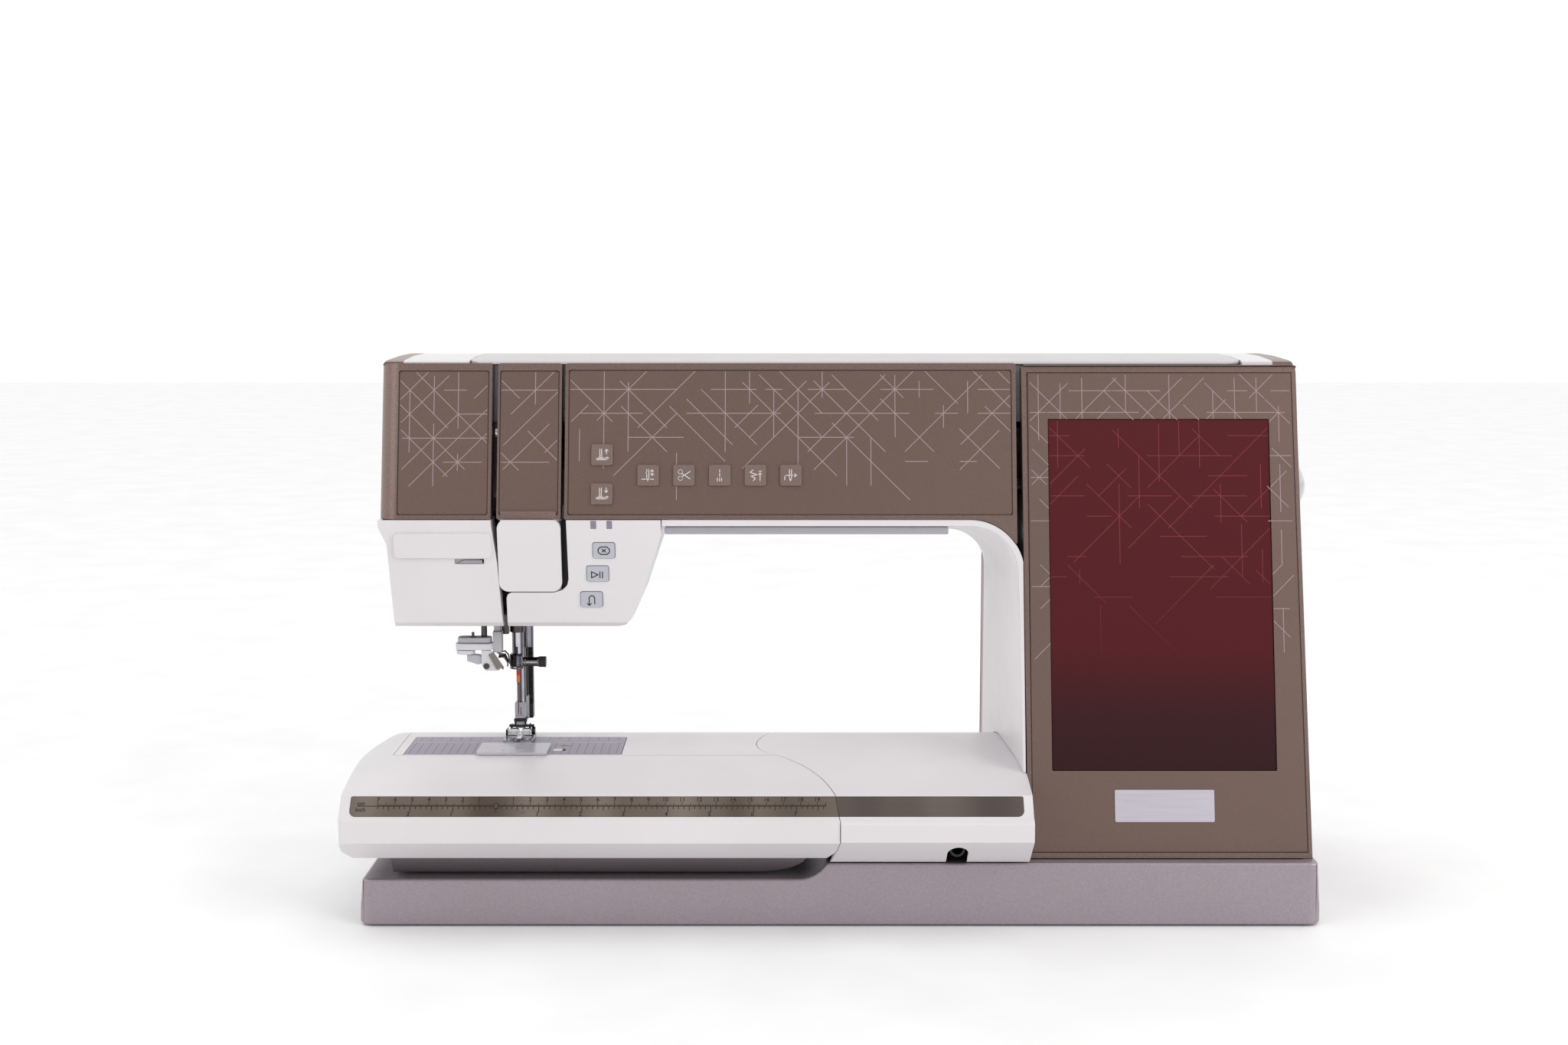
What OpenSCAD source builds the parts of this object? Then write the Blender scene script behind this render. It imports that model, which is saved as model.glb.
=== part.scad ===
// Free-arm sewing and embroidery machine with a tall screen tower.
// Origin: centre of the footprint on the table. X runs right, Y runs back, Z runs up.

/* [Base] */
// Left end of the base
base_left = -290; // [-300:1:-282]
// Right end of the base
base_right = 291; // [289:1:300]
// Front face of the base
base_front = -94.7; // [-97:0.1:-92]
// Back face of the base
base_back = 119; // [114:1:124]
// Height of the low step under the free arm
base_low = 29.5; // [24:0.5:30]
// Height of the base under the bed and tower
base_high = 39.5; // [38:0.5:40]
// Inward slope of the ends of the base, from bottom to top
base_draft = 3; // [0:0.5:4]
// Wall thickness of the base moulding
base_wall = 3; // [2:0.5:4]
// Height of the rubber feet below the base
foot_h = 1; // [0.5:0.5:3]

/* [Front face] */
// Backward lean of the front covers
lean = 12.7; // [11:0.1:14]
// Depth position of the front covers at the reference height
face_y = -85.4; // [-87:0.1:-84]
// Reference height of the front covers
face_z = 40; // [39:0.5:41]
// Depth of the folded edges of the front covers
cover_depth = 10; // [8:1:12]
// Thickness of the front covers
cover_t = 3; // [2.5:0.5:3.5]
// Top edge of the arm covers
arm_top = 336; // [334:1:337]
// Bottom edge of the arm covers
arm_bottom = 241; // [240:0.5:242]

/* [Head] */
// Left side of the head
head_left = -283.8; // [-286:0.2:-282]
// Bottom of the lower head casings
head_bottom = 172.3; // [171.5:0.1:174]
// Needle position across the machine
needle_x = -203.75; // [-204.5:0.25:-203]
// Depth position of the back of the head casings
head_back = 92; // [88:1:94]

/* [Arch] */
// Underside of the arch at its front
arch_top_front = 241.5; // [241:0.5:242]
// Side of the arch at its front
arch_side_front = 112; // [111:0.5:112.5]
// Underside of the arch at its back
arch_top_back = 217; // [214:1:220]
// Side of the arch at its back
arch_side_back = 102; // [100:1:104]

/* [Tower] */
// Left edge of the tower cover
tower_left = 114.5; // [114:0.5:116]
// Right edge of the tower cover at its top
tower_right_top = 283.4; // [282:0.2:284]
// Right edge of the tower cover at its bottom
tower_right_bottom = 286.5; // [286:0.5:288]
// Top edge of the tower cover
tower_top = 334; // [333:0.5:335]
// Depth position of the back of the tower
tower_back = 108; // [104:1:110]
// Width of the screen
screen_w = 136; // [130:1:140]
// Height of the screen along the cover
screen_h = 215.5; // [210:0.5:217]

/* [Bed] */
// Height of the sewing surface
bed_z = 92.4; // [92.2:0.1:92.6]
// Front of the bed lip
bed_front = -119; // [-119.5:0.5:-118]
// Front side of the free arm
free_arm_front = -37.5; // [-38:0.5:-37]
// Left end of the free arm
free_arm_left = -277.5; // [-278:0.5:-277]
// Left end of the accessory tray
tray_left = -296.25; // [-298:0.25:-294]

/* [Drive] */
// Height of the main shaft and handwheel
shaft_z = 258; // [256:1:260]
// Radius of the main shaft
shaft_r = 6; // [5:0.5:6]
// Radius of the handwheel
wheel_r = 18; // [16:0.5:19]
// Right face of the handwheel
wheel_face = 296; // [295:0.25:297]
// Radius of the needle bar
needle_bar_r = 3.5; // [3:0.25:3.5]
// Radius of the rotary hook
hook_r = 16.3; // [15.5:0.1:16.4]

/* [Hidden] */
$fn = 64;

white = [0.89, 0.88, 0.88];
taupe = [0.43, 0.37, 0.35];
base_grey = [0.58, 0.54, 0.57];
steel = [0.72, 0.72, 0.74];
dark = [0.12, 0.12, 0.13];

lean_k = tan(lean);
fit = 0.03;
gap = 0.4;
skin = 2.5;
lid_left = -229;
lid_right = 251;
lid_front = -12;
lid_back = 96;
lid_base = 335.3;
crown_z = 338.8;
top_r = 10;
corner_r = 4.5;
deck_left = lid_left + 6;
deck_right = lid_right - 6;
deck_z = 299;
winder_x = 216;
winder_y = 44;
foot_z = 93.4;
hook_y = -17.5;
gear_r = 10;
pinion_r = 5;
lower_shaft_y = hook_y + gear_r + pinion_r + 0.3;
lower_shaft_z = 58;
lower_shaft_r = 4;
wheel_back = tower_right_bottom + 0.9;
pulley_r = 14;
pulley_x = 178;
presser_y = 16;
presser_r = 3;
bed_arc_y = -30;
strip_top = [-105, 83.85];
strip_bottom = [-114.3, 72.85];
strip_angle = atan((strip_top[1] - strip_bottom[1]) / (strip_top[0] - strip_bottom[0]));
strip_len = norm(strip_top - strip_bottom);
// Lower head front: a plane that leans back towards its bottom edge
low_y = -41;
low_z = 236;
low_lean = 10.4;
bed_drop = bed_z - strip_top[1];
bed_run = bed_arc_y - strip_top[0];
bed_arc_r = (bed_run * bed_run + bed_drop * bed_drop) / (2 * bed_drop);
// Rear shoulder of the bed, the free arm and the tray
rear_y = 14;
rear_r = 110;
rear_angle = 74;
tray_rear = 34;
step_r = 20;
// Back part of the seam between the bed and the free arm, in plan
seam_back = [
  [-44.9, -30], [-47.6, -24.5], [-49.4, -19], [-50.6, -13], [-51, -7.7], [-50.3, 1.8],
  [-47.6, 12.5], [-44, 24], [-42, 40], [-42, 200]
];
// Front covers: their side edges, and the pockets that hold the inlays
left_cover_right = -214.1;
roll_r = 12;
take_up_left = -210.5;
take_up_right = -171;
arm_cover_left = -168.8;
arm_cover_right = 110;
arm_cover_low = 226;
rim_r = 32.5;
rim_t = 4.1;
inlay_depth = 0.8;
inlay_r = 1.5;
inlay_low = 243.5;
inlay_high = 331.5;
// Centres of the square keys on the arm cover: X and height
panel_keys = [
  [-145.7, 280], [-145.7, 256.3], [-117.2, 267.6], [-95.1, 267.6],
  [-73.1, 267.6], [-51.1, 267.6], [-29.2, 267.6]
];
key_side = 13;
key_proud = 1.1;
key_flange = 1;
// Centres of the three grey keys on the head: X and height
head_keys = [[-144.6, 221.6], [-148.8, 206.7], [-153, 190.1]];
head_key_w = 13.4;
head_key_h = 10;
head_key_proud = 0.9;
// Screen and badge on the tower cover
screen_x = 198;
screen_mid = (slope(91.4) + slope(301.7)) / 2;
screen_inset = 1;
badge_left = 167.3;
badge_right = 227.7;
badge_low = 61;
badge_high = 80;
// Motor and cast frame
motor_y = 60;
motor_z = 92;
motor_r = 27;
column_left = 124;
pivot_z = 172;

// ---------- shared shapes ----------

// Profile drawn in Y and Z, extruded along X
module along_x(x0, x1) {
  translate([x0, 0, 0]) rotate([90, 0, 90]) linear_extrude(x1 - x0) children();
}

// Profile drawn in X and Z, extruded along Y
module along_y(y0, y1) {
  translate([0, y1, 0]) rotate([90, 0, 0]) linear_extrude(y1 - y0) children();
}

// Rounded rectangle between two corners
module rounded(x0, y0, x1, y1, r) {
  translate([x0 + r, y0]) square([x1 - x0 - 2 * r, y1 - y0]);
  translate([x0, y0 + r]) square([x1 - x0, y1 - y0 - 2 * r]);
  for (x = [x0 + r, x1 - r], y = [y0 + r, y1 - r]) translate([x, y]) circle(r);
}

// Rounded rectangle about the origin
module centred(w, h, r) {
  rounded(-w / 2, -h / 2, w / 2, h / 2, r);
}

// Points on an arc
function arc(c, r, a0, a1, n = 12) =
  [for (i = [0:n]) c + r * [cos(a0 + (a1 - a0) * i / n), sin(a0 + (a1 - a0) * i / n)]];

// Frame of the leaning front covers: x across, y into the machine, z up the slope
module on_face() {
  translate([0, face_y, face_z]) rotate([-lean, 0, 0]) children();
}
function slope(z) = (z - face_z) / cos(lean);
function face_depth(z) = face_y + lean_k * (z - face_z);

// Everything behind the plane of the front covers, set back by d
module behind_face(d, x0, x1) {
  along_x(x0, x1)
    polygon([[face_depth(0) + d, 0], [150, 0], [150, 360], [face_depth(360) + d, 360]]);
}

// Frame of the lower head front: x across, y into the head, z up the slope
module on_low() {
  translate([0, low_y, low_z]) rotate([low_lean, 0, 0]) children();
}
function low_slope(z) = (z - low_z) / cos(low_lean);
function low_depth(z) = low_y + tan(low_lean) * (low_z - z);

// Shallow cover with folded edges, open at the back
module folded_cover(x0, z0, x1, z1, r) {
  on_face() difference() {
    along_y(0, cover_depth) rounded(x0, slope(z0), x1, slope(z1), r);
    along_y(cover_t, cover_depth + 1)
      rounded(x0 + cover_t, slope(z0) + cover_t, x1 - cover_t, slope(z1) - cover_t, r);
  }
}

// Shallow pocket in a front cover for its decorative inlay
module inlay_pocket(x0, z0, x1, z1) {
  on_face() along_y(-1, inlay_depth) rounded(x0, slope(z0), x1, slope(z1), inlay_r);
}

// ---------- base ----------

module base_outline(inset) {
  rounded(base_left + inset, base_front + inset, base_right - inset, base_back - inset, 8 - inset);
}

module base() color(base_grey) difference() {
  intersection() {
    base_solid(0);
    base_ends(0);
  }
  difference() {
    intersection() {
      base_solid(base_wall);
      base_ends(base_wall);
    }
    translate([base_left, base_front, 0]) cube([600, 240, foot_h + base_wall]);
  }
  // Opening up into the bed and the tower
  translate([6, base_front + 10, foot_h + base_wall]) cube([base_right - 16, 164, base_high]);
}

// Space between the sloping ends of the base
module base_ends(d) {
  along_y(-130, 130) polygon([[base_left + d, 0], [base_right - d, 0],
    [base_right - base_draft - d, base_high], [base_left + base_draft + d, base_high]]);
}

module base_solid(d) {
  translate([0, 0, foot_h]) linear_extrude(base_low - foot_h - d) base_outline(d);
  intersection() {
    translate([0, 0, foot_h]) linear_extrude(base_high - foot_h - d) base_outline(d);
    along_y(base_front - 1, base_back + 1) base_step(d);
  }
}

// Raised part of the base with the curved step up to it
module base_step(d) {
  x = d - 25;
  difference() {
    translate([x, 0]) square([base_right - x, base_high]);
    translate([x, base_low + step_r - d]) circle(step_r);
  }
}

module rubber_feet() color(dark)
  for (x = [-262, 262], y = [-70, 94]) translate([x, y, 0]) cylinder(h = foot_h, r = 12);

// ---------- bed, free arm and tray ----------

// Front curve of the bed, from the flat top to the ruler strip
function bed_curve(d) =
  arc([bed_arc_y, bed_z - bed_arc_r], bed_arc_r - d, 90, 90 + asin(bed_run / bed_arc_r), 10);

function lip_points(d) = concat(bed_curve(d), [
  strip_bottom + [d * 0.9, -d * 0.3], [bed_front + 1 + d, 71 - d * 0.4],
  [bed_front + d, 69.5 - d * 0.4], [bed_front + d, 59 + d * 0.3], [-100 + d * 0.3, 44.3 + d]
]);

// Back curve of the bed, from its hidden rear edge up to the flat top
function rear_points(d) = concat([[80 - d, base_high], [74 - d, 70]],
  arc([rear_y, bed_z - rear_r], rear_r - d, rear_angle, 90, 6));

module bed_profile(d) {
  polygon(concat(rear_points(d), lip_points(d), [[-96 + d, 41], [-92 + d, base_high]]));
}

// Front part of the seam between the bed and the removable tray, in plan
module seam_circle(d) {
  translate([-162, -145.3]) circle(164.3 + d);
}

// Plan of the whole seam
module tray_side(d) {
  intersection() {
    seam_circle(d);
    translate([-400, -400]) square([500, 370]);
  }
  polygon(concat([[-400, 200], [-400, -200], [-200, -200], [-60, -30]],
    [for (p = seam_back) p + [d, 0]]));
}

module bed_cover() color(white) difference() {
  along_x(-60, tower_left - 0.5) bed_profile(0);
  along_x(-80, tower_left + 5) translate([0, -1]) bed_profile(skin);
  translate([0, 0, 30]) linear_extrude(80) tray_side(0);
  // Arched notch for the knee lifter socket
  along_y(-130, -70) {
    translate([70, 48]) circle(6.3);
    translate([63.7, 36]) square([12.6, 12]);
  }
  strip_cut(-20, tower_left - 6);
}

// Slanted groove that holds the metal strip
module strip_cut(x0, x1) {
  translate([0, strip_top[0], strip_top[1]]) rotate([strip_angle, 0, 0])
    translate([0, 0, -0.8]) linear_extrude(3) strip_outline(x0, x1, 0.5);
}

// Outline of the strip: small upper corners, large lower corners
module strip_outline(x0, x1, inset) {
  rounded(x0, inset + 6 - strip_len, x1, -inset, 1);
  rounded(x0, inset - strip_len, x1, -inset - 3, 4);
}

module strip_plate(x0, x1) {
  translate([0, strip_top[0], strip_top[1]]) rotate([strip_angle, 0, 0])
    translate([0, 0, -0.8]) linear_extrude(0.7) strip_outline(x0, x1, 0.65);
}

module bed_strip() color([0.45, 0.41, 0.4]) difference() {
  strip_plate(-12, tower_left - 6.2);
  translate([0, 0, 65]) linear_extrude(30) seam_circle(0);
}

module free_arm_profile(d) {
  polygon(concat([[42 - d, 44 + d], [47 - d, 50], [47 - d, 80]],
    arc([rear_y, bed_z - rear_r], rear_r - d, rear_angle, 90, 6),
    [[free_arm_front + d, bed_z - d], [free_arm_front + d, 44 + d]]));
}

module free_arm() color(white) difference() {
  intersection() {
    along_x(free_arm_left, -30) free_arm_profile(0);
    translate([0, 0, 40]) linear_extrude(60) tray_side(-gap);
  }
  along_x(free_arm_left + skin, -20) free_arm_profile(skin);
  // Seat for the needle plate and the well for hook and feed dogs
  translate([-271.9, -36.3, bed_z - 1.6]) cube([136.8, 48.6, 5]);
  translate([-238, -35, bed_z - 8]) cube([72, 46, 10]);
}

module needle_plate() color([0.64, 0.62, 0.66]) difference() {
  translate([0, 0, bed_z - 1.5]) linear_extrude(1.7) rounded(-271.5, -36, -135.5, 12, 1.5);
  // Bobbin opening, feed slots and needle slot
  translate([needle_x - 20.5, -40, bed_z - 3]) cube([41, 27, 6]);
  for (x = [-8.2, 3.6]) translate([needle_x + x, -9.5, bed_z - 3]) cube([4.6, 20, 6]);
  translate([needle_x, 0, bed_z - 3]) linear_extrude(6) rounded(-4.5, -0.9, 4.5, 0.9, 0.89);
  // Release slot
  translate([-176, -14, bed_z - 0.4]) cube([6, 2, 2]);
}

module bobbin_cover() color([0.85, 0.9, 0.93]) translate([0, 0, bed_z + 0.4])
  difference() {
    linear_extrude(1.6) rounded(needle_x - 22, -39.5, needle_x + 22, -12, 1.5);
    // Finger groove near the front edge
    translate([needle_x, -34, 3.2]) rotate([0, 90, 0]) cylinder(h = 14, r = 2, center = true);
  }

module feed_dog() color(steel) {
  for (x = [-7.9, 3.9]) translate([needle_x + x, -6, bed_z - 4]) feed_row(12);
  translate([needle_x - 7.9, 3, bed_z - 5.2]) cube([15.8, 3, 1.3]);
}

// One row of sloping feed teeth
module feed_row(length) {
  along_x(0, 4) polygon(concat([[length, 0], [0, 0]],
    [for (i = [0:length - 1], k = [0, 1]) [i + k * 0.5, 4 - k * 0.6]], [[length, 3.4]]));
}

module rotary_hook() color(steel) translate([needle_x, hook_y, 0]) {
  difference() {
    translate([0, 0, 70]) cylinder(h = 15.5, r = hook_r);
    translate([0, 0, 73]) cylinder(h = 20, r = hook_r - 2.2);
  }
  translate([0, 0, 48]) cylinder(h = 22, r = 3);
  translate([0, 0, 53]) cylinder(h = 10, r = pinion_r);
}

module bobbin_case() color(dark) translate([needle_x, hook_y, 0]) difference() {
  translate([0, 0, 73.5]) cylinder(h = 13, r = hook_r - 2.6);
  translate([0, 0, 75]) cylinder(h = 20, r = 11);
}

module bobbin() color([0.9, 0.9, 0.92]) translate([needle_x, hook_y, 75.4]) difference() {
  union() {
    cylinder(h = 1, r = 10.25);
    cylinder(h = 10.5, r = 4.5);
    translate([0, 0, 9.5]) cylinder(h = 1, r = 10.25);
  }
  translate([0, 0, -1]) cylinder(h = 20, r = 3.1);
}

// Plan of the tray: an L around the front and left end of the free arm
module tray_plan(d) {
  difference() {
    intersection() {
      polygon(concat([[0, bed_front + 1 - d], [0, tray_rear - d], [tray_left + 13 + d, tray_rear - d]],
        arc([tray_left + 361, -62], 361 - d, 164.6, 180, 8),
        [[tray_left + d, bed_front + 4], [tray_left + 3 + d, bed_front + 1 - d]]));
      tray_side(-gap - d);
    }
    translate([free_arm_left - gap - d, free_arm_front - gap - d]) square([400, 200]);
  }
}

module tray_shell() color(white) difference() {
  intersection() {
    along_x(tray_left - 5, 5) tray_profile(0);
    translate([0, 0, 40]) linear_extrude(60) tray_plan(0);
    along_y(-130, 60) polygon([[tray_left + 5, 44], [tray_left, 50], [tray_left, 95],
      [5, 95], [5, 58], [-8, 44]]);
  }
  intersection() {
    along_x(tray_left, 0) tray_profile(skin);
    translate([0, 0, 30]) linear_extrude(bed_z - 30 - skin) tray_plan(skin);
  }
  strip_cut(tray_left + 6, 10);
}

// Tray section: the bed's front with a flat bottom rim
module tray_profile(d) {
  polygon(concat([[tray_rear - d, 44 - d * 3]], arc([rear_y, bed_z - rear_r], rear_r - d, 79.5, 90, 4),
    lip_points(d), [[-98 + d, 44 - d * 3]]));
}

module tray_ruler() color([0.48, 0.44, 0.41]) intersection() {
  strip_plate(tray_left + 6.2, 5);
  translate([0, 0, 60]) linear_extrude(40) seam_circle(-gap);
}

// Lower part of the tray, set back in the shade of the lip
module tray_pan() color([0.72, 0.71, 0.72]) difference() {
  tray_pan_body(0);
  translate([0, 0, 2.5]) tray_pan_body(2.5);
}

module tray_pan_body(d) {
  intersection() {
    along_x(-270 + d, -8 - d)
      polygon([[-46 - d, 31.5], [-46 - d, 44], [-97 + d, 44], [-86 + d, 31.5]]);
    along_y(-120, 0) polygon(concat([[-280, 44], [-280, 31.5]],
      [for (a = [0:9:90]) [-52 + (32 - d) * sin(a), 44 - 12.5 * cos(a)]]));
  }
}

// ---------- arch, arm and head covers ----------

// Outline of the arch opening, drawn from the left and up to its rounded corner
module arch_outline(top, side, r) {
  translate([-300, -20]) square([300 + side, top + 20 - r]);
  translate([-300, -20]) square([300 + side - r, top + 20]);
  translate([side - r, top - r]) circle(r);
}

// Funnel of the arch, wide at the front and narrower at the back
module arch_funnel(d) {
  hull() {
    along_y(-76, -75) arch_outline(arch_top_front + d, arch_side_front + d, 30 + d);
    along_y(104, 105) arch_outline(arch_top_back + d, arch_side_back + d, 24 + d);
  }
}

module arch_liner() color(white) difference() {
  intersection() {
    arch_funnel(rim_t);
    behind_face(0.4, -109, 120);
    translate([-109, -90, base_high + 2]) cube([222.7, 182.6, 230]);
  }
  arch_funnel(0);
  // Stands on the bed
  along_x(80, 130) bed_profile(-0.2);
}

module led_strip() color([0.72, 0.71, 0.76]) difference() {
  translate([-107, -38, 231.5]) cube([175, 16, 6.5]);
  arch_roof_cut(-120, 80);
}

// Space above the sloping underside of the arm
module arch_roof_cut(x0, x1) {
  k = (arch_top_front - arch_top_back) / 180;
  along_x(x0, x1) polygon([[-75, arch_top_front - 0.1], [104, arch_top_front - 0.1 - 179 * k],
    [104, 260], [-75, 260]]);
}

module arm_panel() color(taupe) difference() {
  folded_cover(arm_cover_left, arm_cover_low, arm_cover_right, arm_top, 1.5);
  // Lower edge follows the rim of the arch
  along_y(-90, 60) arch_outline(arm_bottom, arch_side_front + 2.4, rim_r);
  inlay_pocket(arm_cover_left + 2, inlay_low, arm_cover_right - 2.5, inlay_high + 0.5);
  for (k = panel_keys) key_hole(k[0], k[1], key_side + 0.8);
}

module key_hole(x, z, side) {
  on_face() translate([x, 0, slope(z)])
    along_y(-2, cover_t + 1) centred(side, side, 1.6);
}

module square_key(index) {
  k = panel_keys[index];
  color([0.47, 0.42, 0.4]) on_face() translate([k[0], 0, slope(k[1])]) {
    along_y(-key_proud, cover_t + 1) centred(key_side, key_side, 1.2);
    along_y(cover_t + 0.1, cover_t + 2)
      centred(key_side + 2 * key_flange, key_side + 2 * key_flange, 1.2);
  }
}

module foot_up_button() square_key(0);
module foot_down_button() square_key(1);
module needle_button() square_key(2);
module scissors_button() square_key(3);
module baste_button() square_key(4);
module tie_off_button() square_key(5);
module thread_button() square_key(6);

module head_left_panel() color(taupe) difference() {
  on_face() difference() {
    face_bow(0);
    face_bow(cover_t);
  }
  inlay_pocket(-272, inlay_low, left_cover_right - 1.9, inlay_high);
  translate([-300, -60, 200]) cube([100, 100, arm_bottom - 200]);
}

// Left cover: its outer edge rolls back to the side of the head
module face_bow(d) {
  x1 = left_cover_right - d;
  intersection() {
    translate([0, 0, slope(arm_bottom) + d])
      linear_extrude(slope(arm_top) - slope(arm_bottom) - 2 * d) difference() {
        union() {
          translate([head_left + roll_r, d]) square([x1 - head_left - roll_r, 34]);
          translate([head_left + d, roll_r]) square([60, 22]);
          translate([head_left + roll_r, roll_r]) circle(roll_r - d);
        }
        translate([head_left + 20, cover_depth]) square([100, 40]);
      }
    translate([-300, -1, 0]) cube([100, (d > 0 ? 40 : 30), 400]);
  }
}

// Narrow cover over the take-up lever: coated above, plain below
module take_up_cover() color(taupe) {
  difference() {
    folded_cover(take_up_left, arm_bottom, take_up_right, arm_top, 1.5);
    inlay_pocket(take_up_left + 1.2, inlay_low, take_up_right - 1.5, inlay_high);
  }
  on_low() along_y(0, cover_t) difference() {
    rounded(take_up_left + 0.3, low_slope(195), take_up_right - 0.2, low_slope(arm_bottom), 6);
    translate([-215, low_slope(arm_bottom)]) square([50, 20]);
  }
  translate([-208, low_depth(236) + 1, 232]) cube([34, 6, 14]);
}

// Shell made where a side profile and a front profile meet
module head_block(d) {
  along_x(-300, -90) polygon([
    [low_depth(arm_bottom) + d, arm_bottom - 0.4], [low_depth(175) + d, 175],
    [low_depth(175) + 2.5 + d, head_bottom + d], [head_back - 8 - d, head_bottom + d],
    [head_back - d, 182], [head_back - d, arm_bottom - 0.4]
  ]);
}

module head_left_front(d) {
  along_y(-60, 110) polygon([[head_left + d, 250], [head_left + 0.4 + d, 236],
    [-278.6 + d, 225], [-276.4 + d, head_bottom],
    [-208.8 - d, head_bottom], [-211 - d, 214], [-213.9 - d, 238], [-213.9 - d, 250]]);
}

module head_right_front(d) {
  along_y(-60, 110) polygon([
    [-167.6 + d, 250], [-167 + d, 203], [-168 + d, 199 - d], [-171 + d, 196 - d], [-176 + d, 194.4 - d],
    [-202.6 + d, 194.4 - d], [-204.9 + d, 193.4 - d], [-205.9 + d, 191 - d],
    [-205.9 + d, head_bottom], [-136 - d, head_bottom], [-132 - d, head_bottom + 1.2],
    [-129 - d, head_bottom + 4.4], [-126 - d, 181.5], [-109.4 - d, 231], [-109.4 - d, 250]
  ]);
}

// Space for the needle bar, presser bar and threader through the bottom
module head_mouth() {
  translate([-246, -22, head_bottom - 5]) cube([60, 62, 100]);
}

module head_left_casing() color(white) difference() {
  union() {
    difference() {
      intersection() {
        head_block(0);
        head_left_front(0);
      }
      intersection() {
        head_block(skin);
        head_left_front(skin);
        translate([-300, -60, 0]) cube([300, 200, 300]);
      }
      translate([-300, -60, arm_bottom - 0.41]) cube([300, 200, 20]);
    }
    // Raised block of the thread cutter
    on_low() along_y(-2, 1) rounded(-274, low_slope(217), -214, low_slope(232.5), 3);
  }
  head_mouth();
  on_low() along_y(-3, 4) translate([-237, low_slope(212.8)]) square([18, 3.2]);
}

module cutter_blade() color(steel) on_low() along_y(0, 0.8)
  polygon([[-236, low_slope(213)], [-220, low_slope(213)], [-220, low_slope(215.4)],
    [-231, low_slope(215.4)]]);

module head_right_casing() color(white) difference() {
  difference() {
    intersection() {
      head_block(0);
      head_right_front(0);
    }
    intersection() {
      head_block(skin);
      head_right_front(skin);
    }
    translate([-300, -60, arm_bottom - 0.41]) cube([300, 200, 20]);
  }
  head_mouth();
  for (k = head_keys)
    on_low() along_y(-3, 5) translate([k[0], low_slope(k[1])])
      centred(head_key_w + 0.6, head_key_h + 0.6, 1.5);
}

module head_key(index) {
  k = head_keys[index];
  color([0.7, 0.71, 0.75]) on_low() translate([k[0], 0, low_slope(k[1])]) {
    along_y(-head_key_proud, skin + 0.2) centred(head_key_w, head_key_h, 1.3);
    along_y(skin + 0.1, skin + 2) centred(head_key_w + 1.8, head_key_h + 1.8, 1.3);
  }
}

module stop_button() head_key(0);
module start_button() head_key(1);
module reverse_button() head_key(2);

// Rear half of the arm: back wall, left end wall and the fixed left top piece
module arm_rear_cover() color(white) difference() {
  union() {
    translate([head_left, head_back + 1, 219]) cube([tower_left - head_left, 7, 115.8]);
    translate([head_left, -30, arm_bottom]) cube([6, 127, 93.8]);
    top_piece(head_left, lid_left - 0.6);
  }
  translate([head_left + 6, head_back, 210]) cube([tower_left - head_left + 5, 5, 120]);
  translate([head_left + 3, -40, 200]) cube([10, 134, 130]);
  front_cover_space(-400, cover_depth, arm_top);
  // The end wall starts behind the rolled edge of the left cover
  front_cover_space(-261 - 800, 30, arm_top);
}

// Space of the folded front covers with a small clearance, up to their top edge
module front_cover_space(x0, depth, top) {
  on_face() translate([x0, -120, -20]) cube([800, 120 + depth + 0.3, slope(top) + 20.3]);
}

// Crowned top surface, drawn in Y and Z
module crown(d, bottom = lid_base) {
  polygon([[lid_front - 2 + d, bottom], [lid_front - 1.2 + d, crown_z - 2.2 - d],
    [lid_front + 3 + d, crown_z - 1.4 - d], [25, crown_z - d], [64, crown_z - d],
    [lid_back - 8 - d, crown_z - 0.9 - d], [lid_back - d, crown_z - 2.6 - d],
    [lid_back - d, bottom]]);
}

// Fixed end of the top surface, rounded down towards x0
module top_piece(x0, x1) {
  difference() {
    intersection() {
      along_x(x0, x1) crown(0, 333);
      along_y(-60, 110) polygon(concat([[x0, 332]],
        arc([x0 + top_r, crown_z - top_r + 2], top_r, 160, 101.5, 8),
        [[x0 + 20, crown_z], [x1, crown_z], [x1, 332]]));
    }
    translate([0, 0, -1]) along_x(x0 + 4, x1 - 3) crown(3, 330);
  }
}

module top_lid() color(white) difference() {
  intersection() {
    along_x(lid_left, lid_right) crown(0);
    translate([0, 0, 300]) linear_extrude(60)
      rounded(lid_left, lid_front - 2, lid_right, lid_back, 8);
  }
  along_x(lid_left + skin, lid_right - skin) crown(skin, lid_base - 1);
}

// Open tray under the lid that carries the thread parts
module spool_deck() color([0.8, 0.79, 0.8]) difference() {
  translate([deck_left, -8, deck_z]) cube([deck_right - deck_left, 96, 35.4]);
  translate([deck_left + skin, skin - 8, deck_z + skin])
    cube([deck_right - deck_left - 2 * skin, 96 - 2 * skin, 50]);
  translate([winder_x, winder_y, 290]) cylinder(h = 20, r = 3.2 + 0.3);
}

module spool_pin() color(dark) {
  translate([150, 40, 301.5]) cube([8, 12, 24]);
  translate([40, 46, 318]) rotate([0, 90, 0]) cylinder(h = 110.5, r = 3);
  for (x = [44, 142]) translate([x, 46, 318]) rotate([0, 90, 0]) cylinder(h = 3, r = 13);
}

module winder_spindle() color(steel) translate([winder_x, winder_y, 0]) {
  translate([0, 0, 294]) cylinder(h = 8.5, r = 3.2);
  translate([0, 0, 302.5]) cylinder(h = 2, r = 8);
  translate([0, 0, 304.5]) cylinder(h = 14, r = 3);
}

// ---------- tower ----------

module tower_front(d) {
  low = slope(base_high + 0.3) + d;
  high = slope(tower_top) - d;
  polygon([[tower_left + d, low], [tower_right_bottom - d, low], [tower_right_top - d, high - 2],
    [tower_right_top - 2 - d, high], [tower_left - 1 + d, high]]);
}

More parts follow.
